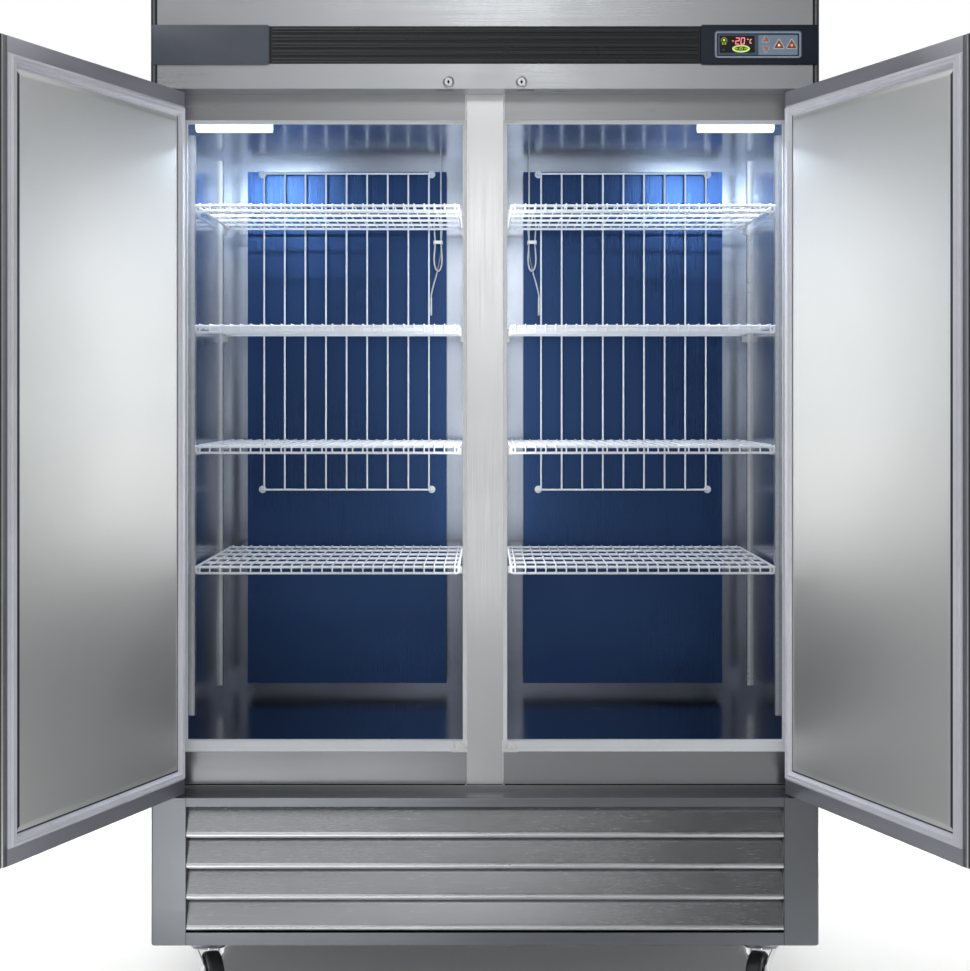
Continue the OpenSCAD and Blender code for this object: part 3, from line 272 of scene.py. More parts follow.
def brushed(name, color, rough, grain=ALONG_Z, bump=0.02, smear=0.06, streak=0.02):
    """Brushed sheet metal: grain is the stretch of the brush lines, per metre."""
    n = Look(name)
    line = n.noise(n.stretched(grain), 1, 3, 0.7)
    fine = n.noise(n.stretched([g * 3.1 for g in grain]), 1, 2, 0.6)
    cloud = n.noise(n.coord, 3.2, 5, 0.55)
    both = n.maths("ADD", n.maths("MULTIPLY", line, 0.6), n.maths("MULTIPLY", fine, 0.4))
    n.set(Metallic=1, Base_Color=n.tint(n.ramp(both, 0.35, 0.65), *shades(color, streak)),
          Roughness=n.maths("ADD", n.ramp(both, 0.3, 0.7, rough - 0.04, rough + 0.04),
                            n.ramp(cloud, 0.3, 0.7, -smear, smear)),
          Normal=n.bump(both, bump, BRUSH_DEPTH))
    return n


def plastic(name, color, rough, grain=900, bump=0.08, vary=0.08, spec=0.5, coat=0):
    """Moulded plastic, rubber or paint with a fine grain and slow colour drift."""
    n = Look(name)
    slow = n.noise(n.coord, 9, 4, 0.6)
    n.set(Base_Color=n.tint(n.ramp(slow, 0.3, 0.7), *shades(color, vary)),
          Roughness=n.ramp(slow, 0.3, 0.7, rough - 0.05, rough + 0.05),
          Normal=n.bump(n.noise(n.coord, grain, 3, 0.6), bump, GRAIN_DEPTH),
          Specular_IOR_Level=spec, Coat_Weight=coat)


def glow(name, color, strength, base=(0.02, 0.02, 0.02)):
    """Lit segment or lamp, a little uneven."""
    n = Look(name)
    spots = n.ramp(n.noise(n.coord, 260, 2), 0.3, 0.7, 0.9, 1.1)
    n.set(Base_Color=(*base, 1), Roughness=0.35, Emission_Color=(*color, 1),
          Emission_Strength=n.maths("MULTIPLY", spots, strength))


def paint_shade_below(n, lo, hi, dark):
    """Painted shade: darkens a metal's colour from one height down to another, in metres."""
    height = n.split(n.coord)["Z"]
    shade = n.add("ShaderNodeVectorMath", operation="MULTIPLY")
    n.put(shade.inputs[0], n.bsdf.inputs["Base Color"].links[0].from_socket)
    n.put(shade.inputs[1], n.tint(n.ramp(height, lo, hi), dark, WHITE[:3]))
    n.set(Base_Color=shade.outputs[0])


# colour, roughness, grain, bump, smear, streak
METALS = {
    "steel": ((0.585, 0.6, 0.625), 0.3, ALONG_X, 0.01, 0.06, 0.014),
    # painted shade: a darker copy of the stainless steel for the face frame under the header's
    # overhang
    "steel_frame": ((0.44, 0.45, 0.465), 0.3, ALONG_X, 0.01, 0.02, 0.012),
    "steel_mullion": ((0.6, 0.61, 0.62), 0.18, ALONG_Z, 0.008, 0.02, 0.01),
    # painted shade: a darker copy of the stainless steel for the sill plates and the frame's foot
    "steel_plate": ((0.32, 0.33, 0.345), 0.22, ALONG_X, 0.01, 0.03, 0.012),
    # painted shade: a darker copy of the stainless steel for the base, for the dim light low down
    "steel_base": ((0.215, 0.225, 0.24), 0.4, ALONG_X, 0.012, 0.03, 0.014),
    "steel_louvre": ((0.46, 0.475, 0.495), 0.25, (22, 460, 460), 0.014, 0.02, 0.05),
    # painted shade: the next two rows are darkened copies of the stainless steel; the first for the
    # header's hems and the free-side bevel of the door panels, the second for the beads in the hems,
    # a paler line in the dark as a painted highlight, and the strips on the doors' free edges
    "steel_dark": ((0.055, 0.06, 0.065), 0.4),
    "steel_bead": ((0.22, 0.23, 0.24), 0.36),
    # painted highlight: a paler copy of the stainless steel for the joint beads above the openings
    "steel_lip": ((0.86, 0.88, 0.9), 0.36, ALONG_Z, 0.01, 0.06, 0.01),
    "steel_joint": ((0.6, 0.61, 0.63), 0.36, ALONG_Z, 0.01, 0.06, 0.01),
    "steel_side": ((0.58, 0.58, 0.57), 0.34, ALONG_Z, 0.01, 0.012, 0.012),
    "steel_door": ((0.6, 0.6, 0.655), 0.38),
    "steel_skin": ((0.6, 0.605, 0.61), 0.34, ALONG_Z, 0.012, 0.012, 0.012),
    "steel_panel": ((0.7, 0.705, 0.69), 0.5, ALONG_Z, 0.006, 0.02, 0.01),
    # painted shade and painted light: the duct covers' steel is darkened for the shade deep in the
    # compartments and tinted blue for their cool light
    "duct_steel": ((0.034, 0.072, 0.18), 0.3),
    # painted highlight: a paler copy of the louvre steel for the louvre noses
    "steel_nose": ((0.7, 0.71, 0.73), 0.3, ALONG_X, 0.02, 0.06, 0.03),
    "lock_ring": ((0.5, 0.51, 0.53), 0.2, EVEN, 0.02, 0.06, 0.03),
    "lock_plug": ((0.62, 0.63, 0.65), 0.24, EVEN, 0.02, 0.06, 0.03),
    "zinc": ((0.62, 0.63, 0.65), 0.34, EVEN, 0.04, 0.06, 0.08),
    "chrome": ((0.8, 0.8, 0.82), 0.07, (90, 90, 90), 0.02, 0.03, 0.04),
    "fins": ((0.62, 0.58, 0.54), 0.35, (300, 8, 8), 0.1, 0.06, 0.12),
}
# colour, roughness, grain, bump, drift, specular level, coat
PLASTICS = {
    "white_wire": ((0.84, 0.88, 0.94), 0.3, 1500, 0.04, 0.03, 0.5, 0.3),
    "gasket": ((0.82, 0.82, 0.9), 0.48, 1200, 0.06, 0.05),
    "trim": ((0.88, 0.91, 0.94), 0.34, 900, 0.08, 0.03),
    "clip_white": ((0.86, 0.87, 0.88), 0.38, 900, 0.08, 0.03),
    "fascia_grey": ((0.098, 0.112, 0.145), 0.42, 1800, 0.1),
    "fascia_dark": ((0.012, 0.02, 0.036), 0.42, 1800, 0.1, 0.08, 0.32),
    "fascia_rib": ((0.02, 0.022, 0.028), 0.3, 1800, 0.05),
    # painted shade: black for the seam above the frame's foot, the bars and sheet behind the louvres
    # and the keyways, where there is only shadow
    "gap_black": ((0.006, 0.006, 0.007), 0.7, 900, 0.05, 0.08, 0.2),
    # painted shade: dark grey for the seams beside the louvre opening and the groove round each door
    # panel
    "seam_grey": ((0.035, 0.037, 0.04), 0.6, 900, 0.05, 0.08, 0.3),
    "black_plastic": ((0.016, 0.016, 0.018), 0.45, 1400, 0.14),
    "black_paint": ((0.022, 0.022, 0.024), 0.38, 500, 0.05),
    "controller_blue": ((0.075, 0.115, 0.175), 0.36, 2200, 0.04),
    "controller_rim": ((0.38, 0.45, 0.56), 0.34, 2200, 0.04),
    "key_zone": ((0.27, 0.37, 0.5), 0.36, 2200, 0.04),
    "key_fill": ((0.42, 0.105, 0.05), 0.4, 2600, 0.05),
    "key_rim": ((0.9, 0.74, 0.7), 0.4, 2600, 0.05),
    "window_black": ((0.006, 0.006, 0.008), 0.1, 300, 0.01, 0.08, 0.5, 0.5),
    "lead_white": ((0.62, 0.63, 0.66), 0.4, 1600, 0.05),
    "foam": ((0.72, 0.6, 0.36), 0.85, 260, 0.5, 0.08, 0.2),
    "tyre": ((0.02, 0.02, 0.022), 0.52, 700, 0.16),
    "wheel_hub": ((0.05, 0.05, 0.055), 0.5, 900, 0.1),
}
# colour, strength, colour when unlit
GLOWS = {
    "lamp": ((0.74, 0.86, 1), 1, (0.9, 0.93, 1)),
    "led_red": ((1, 0.035, 0.05), 0.75),
    "led_core": ((1, 0.5, 0.52), 0.95),
    "led_green": ((0.72, 0.92, 0.28), 0.85),
    "led_lime": ((0.42, 0.66, 0.04), 0.75),
    "led_olive": ((0.055, 0.12, 0.004), 0.7),
    "led_olive_dim": ((0.26, 0.36, 0.02), 0.6),
    "led_yellow": ((0.8, 0.88, 0.12), 0.95),
    "led_faint": ((0.07, 0.08, 0.07), 0.35),
    "key_light": ((1, 0.74, 0.62), 0.95, (0.5, 0.2, 0.15)),
    "key_amber": ((1, 0.42, 0.26), 0.75, (0.5, 0.2, 0.12)),
    "key_dim": ((0.75, 0.32, 0.24), 0.5, (0.4, 0.15, 0.1)),
}
for make, table in ((brushed, METALS), (plastic, PLASTICS), (glow, GLOWS)):
    for name, row in table.items():
        make(name, *row)
# painted light and shade: the liner's blue tint stands in for the cool light inside, and it is
# darkened towards its foot for the shade low in the compartments
liner = brushed("liner_steel", (0.56, 0.62, 0.72), 0.2)
paint_shade_below(liner, 0.6, 1.6, (0.36, 0.36, 0.38))


# mesh helpers
def piece(name, bm, mats, slot="stainless", nodes=(), body="cabinet", bevel=0, segments=2,
          smooth=35):
    """An object from a bmesh in the part's own frame, riding on a body."""
    bmesh.ops.recalc_face_normals(bm, faces=bm.faces)
    obj = mesh_object(name, bm)
    mesh = obj.data
    for m in [mats] if isinstance(mats, str) else mats:
        mesh.materials.append(MATS[m])
    mesh.polygons.foreach_set("use_smooth", [True] * len(mesh.polygons))
    mesh.set_sharp_from_angle(angle=radians(smooth))
    if bevel:
        give(obj.modifiers.new("edges", "BEVEL"), width=bevel * MM, segments=segments,
             limit_method="ANGLE", angle_limit=radians(30), harden_normals=True)
    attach(obj, body)
    if nodes:
        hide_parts(*nodes)
    return obj


def box(bm, a, b, mat=0):
    """Box between two corners, in mm."""
    vs = [bm.verts.new(P(x, y, z)) for z in (a[2], b[2]) for y in (a[1], b[1])
          for x in (a[0], b[0])]
    for f in ((0, 1, 3, 2), (4, 6, 7, 5), (0, 4, 5, 1), (2, 3, 7, 6), (0, 2, 6, 4), (1, 5, 7, 3)):
        bm.faces.new([vs[i] for i in f]).material_index = mat


def boxes(name, look, pairs, nodes=(), bevel=0):
    """Sheet or seam piece made of boxes between pairs of corners."""
    bm = bmesh.new()
    for a, b in pairs:
        box(bm, a, b)
    piece(name, bm, look, nodes=nodes, bevel=bevel)


def loft(bm, loops, mat=0, caps=True):
    """Quads between loops of equally many points, given as vectors."""
    rings = [[bm.verts.new(p) for p in loop] for loop in loops]
    count = len(rings[0])
    for a, b in zip(rings, rings[1:]):
        for i in range(count):
            j = (i + 1) % count
            bm.faces.new((a[i], a[j], b[j], b[i])).material_index = mat
    if caps:
        bm.faces.new(rings[0]).material_index = mat
        bm.faces.new(rings[-1]).material_index = mat
    return rings


def round_loft(bm, loops, mat=0):
    """Loft whose last loop meets the first."""
    loft(bm, loops + loops[:1], mat, caps=False)
    bmesh.ops.remove_doubles(bm, verts=bm.verts, dist=1e-7)


def paint(bm, faces, mat):
    """Gives the faces of these numbers another material."""
    bm.faces.ensure_lookup_table()
    for i in faces:
        bm.faces[i].material_index = mat


def prism(bm, outline, lo, hi, at=P):
    """Prism of an outline of pairs; at maps (a, b, level) to a vector."""
    loft(bm, [[at(a, b, level) for a, b in outline] for level in (lo, hi)])


def layers(bm, outline, steps, mat=0):
    """Solid through copies of an outline in X and Z; steps holds (depth, inset) pairs."""
    loft(bm, [[P(x, y, z) for x, z in inset(outline, t)] for y, t in steps],
         mat)


def pillow(bm, outline, y0, y1, soft, mat=0):
    """Plate on depth y0 whose front edges round off over soft up to depth y1."""
    drop = y0 - y1
    layers(bm, outline, ((y0, 0), (y1 + 0.75 * drop, 0), (y1 + 0.3 * drop, 0.25 * soft),
                         (y1 + 0.07 * drop, 0.6 * soft), (y1, soft)), mat)


def round_steps(centre, r, u, v, sides):
    """Points of a circle in the plane of two unit vectors, r in mm."""
    turns = [2 * pi * k / sides for k in range(sides)]
    return [centre + r * MM * (cos(a) * u + sin(a) * v) for a in turns]


def tube(bm, path, r, sides=12):
    """Round wire along points, its rings carried on without twist."""
    side = (path[1] - path[0]).normalized().orthogonal().normalized()
    loops = []
    for i, p in enumerate(path):
        t = (path[min(i + 1, len(path) - 1)] - path[max(i - 1, 0)]).normalized()
        side = (side - side.dot(t) * t).normalized()
        loops.append(round_steps(p, r, side, t.cross(side), sides))
    loft(bm, loops)


def lathe(bm, profile, centre, axis, sides=48, ring=False):
    """Solid of revolution: profile holds (radius, height) pairs along the axis."""
    axis = Vector(axis).normalized()
    u = axis.orthogonal().normalized()
    loops = [round_steps(centre + axis * h * MM, max(r, 0.02), u, axis.cross(u), sides)
             for r, h in profile]
    if ring:
        round_loft(bm, loops)
    else:
        loft(bm, loops)


def arc(cx, cy, r, a0, a1, steps):
    """Points on an arc, angles in degrees."""
    angles = [radians(a0 + (a1 - a0) * i / steps) for i in range(steps + 1)]
    return [(cx + r * cos(a), cy + r * sin(a)) for a in angles]


def corner_rect(x0, x1, z0, z1, r0, r1, steps=6):
    """Rectangle whose corners have radius r0 at x0 and r1 at x1."""
    return (arc(x1 - r1, z1 - r1, r1, 0, 90, steps) + arc(x0 + r0, z1 - r0, r0, 90, 180, steps)
            + arc(x0 + r0, z0 + r0, r0, 180, 270, steps)
            + arc(x1 - r1, z0 + r1, r1, 270, 360, steps))


def round_rect(cx, cz, w, h, r, steps=5):
    """Rectangle round a middle, with equal corners."""
    return corner_rect(cx - w / 2, cx + w / 2, cz - h / 2, cz + h / 2, r, r, steps)


def inset(outline, t):
    """Outline drawn in by t (counter-clockwise outline)."""
    if not t:
        return outline
    out = []
    n = len(outline)
    for i in range(n):
        p0, p1, p2 = (Vector(outline[(i + k) % n]) for k in (-1, 0, 1))
        d0, d1 = (p1 - p0), (p2 - p1)
        if d0.length < 1e-9:
            d0 = d1
        if d1.length < 1e-9:
            d1 = d0
        n0, n1 = Vector((-d0.y, d0.x)).normalized(), Vector((-d1.y, d1.x)).normalized()
        m = (n0 + n1).normalized()
        out.append(tuple(p1 + m * (t / max(0.3, m.dot(n0)))))
    return out


def corners(a0, a1, b0, b1):
    """Corners of a rectangle, as pairs."""
    return [(a0, b0), (a1, b0), (a1, b1), (a0, b1)]


def disc(x, z, rx, rz, count=28):
    """Ellipse in X and Z."""
    turns = [2 * pi * k / count for k in range(count)]
    return [(x + rx * cos(a), z + rz * sin(a)) for a in turns]


def triangle(x, z, side, turn, off=0, r=0.9):
    """Rounded triangle pointing up (turn 1) or down (turn -1), grown by off."""
    a = side + 3.46 * off
    tips = [(-a / 2, -0.29 * a), (a / 2, -0.29 * a), (0, 0.58 * a)]
    out = []
    for (px, pz), start in zip(tips, (150, 270, 30)):
        toward = hypot(px, pz)
        cx, cz = px * (1 - 2 * r / toward), pz * (1 - 2 * r / toward)
        out += arc(cx, cz, r, start, start + 120, 4)
    return [(x + q[0], z + turn * q[1]) for q in (out if turn > 0 else reversed(out))]


def fill(bm, loops):
    """Triangles between a loop of vertices and the holes in it."""
    edges = [bm.edges.get(pair) or bm.edges.new(pair)
             for loop in loops for pair in zip(loop, loop[1:] + loop[:1])]
    return bmesh.ops.triangle_fill(bm, use_beauty=True, use_dissolve=False, edges=edges)["geom"]


def verts(bm, outline, y):
    """Vertices of an outline in X and Z, at one depth."""
    return [bm.verts.new(P(x, y, z)) for x, z in outline]


def flat_plate(bm, outer, holes, y0, y1):
    """Flat plate between depths y0 and y1 with holes, from outlines in X and Z."""
    made = fill(bm, [verts(bm, loop, y1) for loop in [outer] + holes])
    faces = [g for g in made if isinstance(g, bmesh.types.BMFace)]
    moved = bmesh.ops.extrude_face_region(bm, geom=faces)["geom"]
    ends = [g for g in moved if isinstance(g, bmesh.types.BMVert)]
    bmesh.ops.translate(bm, vec=(0, (y0 - y1) * MM, 0), verts=ends)


def bead(bm, ends, y, at, w, out, mat=0, upright=True, steps=8):
    """Low rounded bead between two ends, along Z or X; at is its middle across."""
    ring = [(w / 2 * cos(pi * k / steps), -out * sin(pi * k / steps))
            for k in range(steps + 1)] + [(-w / 2, 0.4), (w / 2, 0.4)]
    loft(bm, [[P(at + p, y + q, end) if upright else P(end, y + q, at + p) for p, q in ring]
              for end in ends], mat)


# sensor leads, the only cords
def hank_point(s):
    """Point on the hank after s turns: a tall loop drawn in at its waist."""
    a = -2 * pi * s
    return (HANK_W / 2 * cos(a) * (1 - 0.5 * abs(cos(a)) ** 6),
            s * (2 * LEAD_R + LEAD_GAP), HANK_H / 2 * sin(a))


def build_lead(name, side):
    """Lead from the ceiling, wound into a hank behind a strap, with its probe."""
    def part(kind, look, **edges):
        return piece(f"sensor_{kind}_{name}", bm, look, "lead", ["sensor_leads"], **edges)

    route = [hank_point(i / HANK_STEPS) for i in range(LEAD_LOOPS * HANK_STEPS + 1)]
    path = [P(-side * (HANK_X + a), HANK_Y + b, HANK_Z + c)
            for a, b, c in LEAD_IN + route + LEAD_OUT]
    bm = bmesh.new()
    tube(bm, path, LEAD_R)
    lead = part("lead", "lead_white", smooth=60)
    bm = bmesh.new()
    lathe(bm, [(0, -PROBE_L), (1.6, -PROBE_L + 0.2), (2.6, -PROBE_L + 1.4), (PROBE_R, -PROBE_L + 3),
               (PROBE_R, -1), (2.6, 0.4), (2.6, 3.4), (2.2, 4), (0, 4)], path[-1], (0, 0, 1), 24)
    probe = part("probe", "zinc")
    bm = bmesh.new()
    half = HANK_W / 4 + LEAD_R + 0.6
    plan = [(half - 0.5, HANK_Y - 9), (half + 1.5, HANK_Y - 7), (half + 1.5, DUCT_Y),
            (half, DUCT_Y), (half, HANK_Y - 6.6), (half - 1, HANK_Y - 7.5)]
    plan += [(-a, b) for a, b in reversed(plan)]
    prism(bm, plan, HANK_Z - STRAP_H, HANK_Z + STRAP_H,
          lambda a, b, level: P(-side * (HANK_X + a), b, level))
    strap = part("strap", "clip_white")


for name, side in SIDES:
    build_lead(name, side)


# CAD nodes that keep their mesh
KEPT = {
    "steel_side": ["outer_case"], "steel": ["header_panel"], "steel_frame": ["face_frame"],
    "liner_steel": ["liners"], "duct_steel": ["duct_covers"],
    "foam": ["insulation", "door_left_core", "door_right_core"],
    "black_paint": ["compressor", "condenser_shroud"], "fins": ["condenser_coil", "evaporator_coils"],
    "zinc": ["shelf_pilasters", "shelf_clips", "hinge_brackets", "caster_plates"],
    "black_plastic": ["drain_pan", "condenser_fan", "evaporator_fan_left", "evaporator_fan_right",
                      "door_left_pull", "door_right_pull"],
    "controller_blue": ["controller_body"], "window_black": ["display_window"],
    "lock_plug": ["lock_plug_left", "lock_plug_right"],
}
for look, nodes in KEPT.items():
    for node in nodes:
        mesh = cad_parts[node].data
        mesh.materials.clear()
        mesh.materials.append(MATS[look])


# shelves and guards
def build_shelf(name, side, top):
    """White wire shelf: deck wires bent down at the front, over cross rails."""
    bm = bmesh.new()
    x0 = -ROOM_X - SHELF_W / 2
    x1 = x0 + SHELF_W
    y0, y1 = SHELF_Y0, SHELF_Y0 + SHELF_D
    wires = int((SHELF_W - 12) // DECK_PITCH)
    first = (SHELF_W - wires * DECK_PITCH) / 2
    zd, zf = top - DECK_R, top - 2 * DECK_R - RAIL_R + 0.7
    low = zf - RAIL_DROP
    for i in range(wires + 1):
        x = x0 + first + i * DECK_PITCH
        bend = [P(x, y0 + a, b) for a, b in arc(DECK_BEND, zd - DECK_BEND, DECK_BEND, 90, 180, 4)]
        tube(bm, [P(x, y1 - 2, zd)] + bend + [P(x, y0, low)], DECK_R, 8)
    front, back = y0 + RAIL_R + 0.8, y1 - RAIL_R - 3
    rails = [(front, 1), (back, 1)]
    rails += [(y0 + i * SHELF_D / CROSS_SPANS, 2) for i in range(1, CROSS_SPANS)]
    for y, gap in rails:
        tube(bm, [P(x0 + gap, y, zf), P(x1 - gap, y, zf)], RAIL_R)
    ends = [(x0 + 3, zf), (x0 + 3, low + 4), (x0 + 4.2, low + 1.2), (x0 + 7, low)]
    lip = ends + [(x0 + x1 - a, b) for a, b in reversed(ends)]
    tube(bm, [P(a, front, b) for a, b in lip], RAIL_R - 0.4)
    for x in (x0 + RAIL_R + 0.3, x1 - RAIL_R - 0.3):
        tube(bm, [P(x, y0 + RAIL_R, zf - 0.2), P(x, back, zf - 0.2)], RAIL_R)
    if side > 0:
        bmesh.ops.scale(bm, vec=(-1, 1, 1), verts=bm.verts)
    piece(f"{name}_wires", bm, "white_wire", "white_wire", [name], smooth=60)


def build_guards():
    """Upright wires before the duct covers, on cross wires and footed posts."""
    bm = bmesh.new()
    for _, side in SIDES:
        x0, x1 = side * ROOM_X - GUARD_W / 2, side * ROOM_X + GUARD_W / 2
        for i in range(GUARD_WIRES):
            x = x0 + i * GUARD_W / (GUARD_WIRES - 1)
            tube(bm, [P(x, GUARD_Y, GUARD_Z0), P(x, GUARD_Y, GUARD_Z1)], GUARD_R)
        for z in (GUARD_Z0, (GUARD_Z0 + GUARD_Z1) / 2, GUARD_Z1):
            y = GUARD_Y + GUARD_R
            tube(bm, [P(x0 - 8, y, z), P(x1 + 8, y, z)], GUARD_R + 0.3)
        for x in (x0 - 6, x1 + 6):
            for z in (GUARD_Z0, GUARD_Z1):
                tube(bm, [P(x, GUARD_Y, z), P(x, DUCT_Y - 1, z)], GUARD_R + 0.6)
                lathe(bm, [(0, 0), (9, 0), (9, 1.2), (7.6, 2), (0, 2)], P(x, DUCT_Y, z),
                      (0, -1, 0), 24)
    piece("wire_guard_pair", bm, "white_wire", "white_wire", ["wire_guards"], smooth=60)


for name, side in SIDES:
    for number, top in enumerate(SHELF_TOP, 1):
        build_shelf(f"shelf_{name}_{number}", side, top)
build_guards()


# doors
def door_map(side):
    """Maps (u from the free edge, v from the front, z) of a closed door to its open place."""
    a = radians(OPEN_ANGLE)

    def at(u, v, z):
        rx, ry = HINGE_U - u, v - HINGE_BACK
        x = -HINGE_X + rx * cos(a) + ry * sin(a)
        y = HINGE_BACK - rx * sin(a) + ry * cos(a)
        return P(-x if side > 0 else x, y, z)
    return at


def door_rings(profile, at):
    """Loops of a mitred ring round the door's inner face."""
    loops = []
    for off, h in profile:
        ring = corners(MARGIN_FREE + off, DOOR_W - MARGIN_HINGE - off,
                       DOOR_Z0 + MARGIN_END + off, DOOR_Z1 - MARGIN_END - off)
        loops.append([at(u, DOOR_T + h, z) for u, z in ring])
    return loops


def build_door(name, side):
    """Shell with its grip slot, inner panel, groove, edge strips and gasket."""
    at, body = door_map(side), f"door_{name}"

    def part(suffix, looks, slot="stainless", node=None, **edges):
        piece(f"{body}_{suffix}", bm, looks, slot, [f"{body}_{node}"] if node else (), body, **edges)

    bm = bmesh.new()
    prism(bm, [(GRIP_W, 0), (DOOR_W, 0), (DOOR_W, DOOR_T), (0, DOOR_T), (0, GRIP_D),
               (GRIP_BACK, GRIP_D), (GRIP_BACK, LIP_T), (GRIP_W, LIP_T)], DOOR_Z0, DOOR_Z1, at)
    paint(bm, [2], 1)
    part("shell", ["steel_skin", "steel_door"], node="skin", bevel=1.2, segments=3)
    bm = bmesh.new()
    rings = loft(bm, door_rings(PANEL_PROFILE, at), caps=False)
    # painted shade: the free-side bevel of the inner panel gets the near-black steel
    paint(bm, [4 * k + 3 for k in (2, 3, 4)], 1)
    bm.faces.new(rings[-1])
    part("inner_panel", ["steel_panel", "steel_dark"], node="panel", smooth=50)
    bm = bmesh.new()
    # painted shade: the groove is a dark ring, and its top run is pale in the gasket's colour as
    # painted light
    loft(bm, door_rings(GROOVE_PROFILE, at), caps=False)
    paint(bm, [4 * k + 2 for k in range(3)], 1)
    part("groove", ["seam_grey", "gasket"], smooth=50)
    bm = bmesh.new()
    # painted shade: strips of darker steel along the free edge
    for u0, u1, h in EDGE_STRIPS:
        prism(bm, corners(u0, u1, DOOR_T - 0.3, DOOR_T + h), DOOR_Z0 + 2, DOOR_Z1 - 2, at)
    part("edge_strips", "steel_bead", bevel=0.1)
    bm = bmesh.new()
    loft(bm, door_rings(SEAL_PROFILE, at), caps=False)
    part("seal", "gasket", "gasket", "gasket", smooth=50)


for name, side in SIDES:
    build_door(name, side)


# fascia and controller
def build_fascia():
    """Ribbed grille strip between two plain end blocks."""
    bm = bmesh.new()
    y0, z0, z1, x = -FASCIA_OUT, FASCIA_Z, FASCIA_Z + FASCIA_H, FASCIA_X - PLAIN_W
    for mat, ends in enumerate(((-FASCIA_X, -x, z0, z1, OUTER_R, INNER_R),
                                (x, FASCIA_X, z0, z1, INNER_R, OUTER_R))):
        layers(bm, corner_rect(*ends), ((0, 0), (y0 + 2.2, 0), (y0 + 1.1, 0.3), (y0 + 0.3, 1.1),
                                        (y0, 2.2)), mat)
    box(bm, (-x - 1, -RIB_BED, z0 + RIB_EDGE), (x + 1, 0, z1 - RIB_EDGE), 3)
    pitch = (FASCIA_H - 2 * RIB_EDGE) / RIBS
    for i in range(RIBS):
        cz = z0 + RIB_EDGE + (i + 0.5) * pitch
        loft(bm, [[P(end, p - RIB_BED, cz + q * pitch) for p, q in RIB_SHAPE]
                  for end in (5 - x, x - 5)], 2)
    piece("fascia_moulding", bm, ["fascia_grey", "fascia_dark", "fascia_rib", "black_plastic"],
          "fascia", ["fascia_panel"], smooth=40)


def ring_plate(name, look, outline, width, lo, hi):
    """Raised rim round an outline, rounded across."""
    bm = bmesh.new()
    steps = ((0, lo), (0.05, hi + 0.35), (0.22, hi + 0.08), (0.5, hi), (0.78, hi + 0.08),
             (0.95, hi + 0.35), (1, lo))
    round_loft(bm, [[P(x, y, z) for x, z in inset(outline, f * width)]
                    for f, y in steps])
    piece(name, bm, look, "controller", smooth=50)


def build_key(name, x, z, side, turn, look):
    """Key cap with a rounded edge, a sunk field and a lit spot."""
    small = side < SMALL_KEY
    bm = bmesh.new()
    pillow(bm, triangle(x, z, side, turn), KEY_Y + 4.4, KEY_Y + 0.25, 1)
    core = triangle(x, z, side - (4.6 if small else 0.8), turn, r=0.6)
    layers(bm, core, ((KEY_Y + 0.3, 0), (KEY_Y + 0.1, 0), (KEY_Y, 0.5)), 1)
    spot = disc(x, z - turn * 0.3, *((1.3, 1.3) if small else (2.3, 2.5)), 20)
    layers(bm, spot, ((KEY_Y + 0.1, 0), (KEY_Y - 0.12, 0), (KEY_Y - 0.2, 0.5)), 2)
    piece(f"{name}_cap", bm, ["key_rim" if small else "key_fill", "key_fill", look], "key", [name],
          name)


def build_controller():
    """Rim, groove, key field with its outlines, and the keys."""
    rim = round_rect(*CTRL_RIM)
    ring_plate("controller_rim", "controller_rim", rim, RIM_W, CTRL_Y + 0.4, CTRL_Y - 0.9)
    ring_plate("controller_groove", "fascia_dark", inset(rim, RIM_W), RIM_GROOVE_W, CTRL_Y + 0.4,
               CTRL_Y - 0.15)
    bm = bmesh.new()
    holes = [triangle(x, z, side + KEY_GAP, turn, r=0.5) for x, z, side, turn, _ in KEYS.values()]
    flat_plate(bm, round_rect(*KEY_ZONE), holes, CTRL_Y + 0.2, CTRL_Y - 0.2)
    piece("key_zone_plate", bm, "key_zone", "controller")
    bm = bmesh.new()
    for x, z, side, turn, _ in KEYS.values():
        grown = 1.1 if side < SMALL_KEY else 1.9
        outer = triangle(x, z, side + KEY_GAP, turn, grown, r=2.4)
        inner = triangle(x, z, side + KEY_GAP, turn)
        round_loft(bm, [[P(a, CTRL_Y - out, b) for a, b in loop] for loop, out in
                        ((outer, 0.1), (outer, 0.35), (inner, 0.35), (inner, 0.1))])
    piece("key_outlines", bm, "key_rim", "controller")
    for name, row in KEYS.items():
        build_key(name, *row)


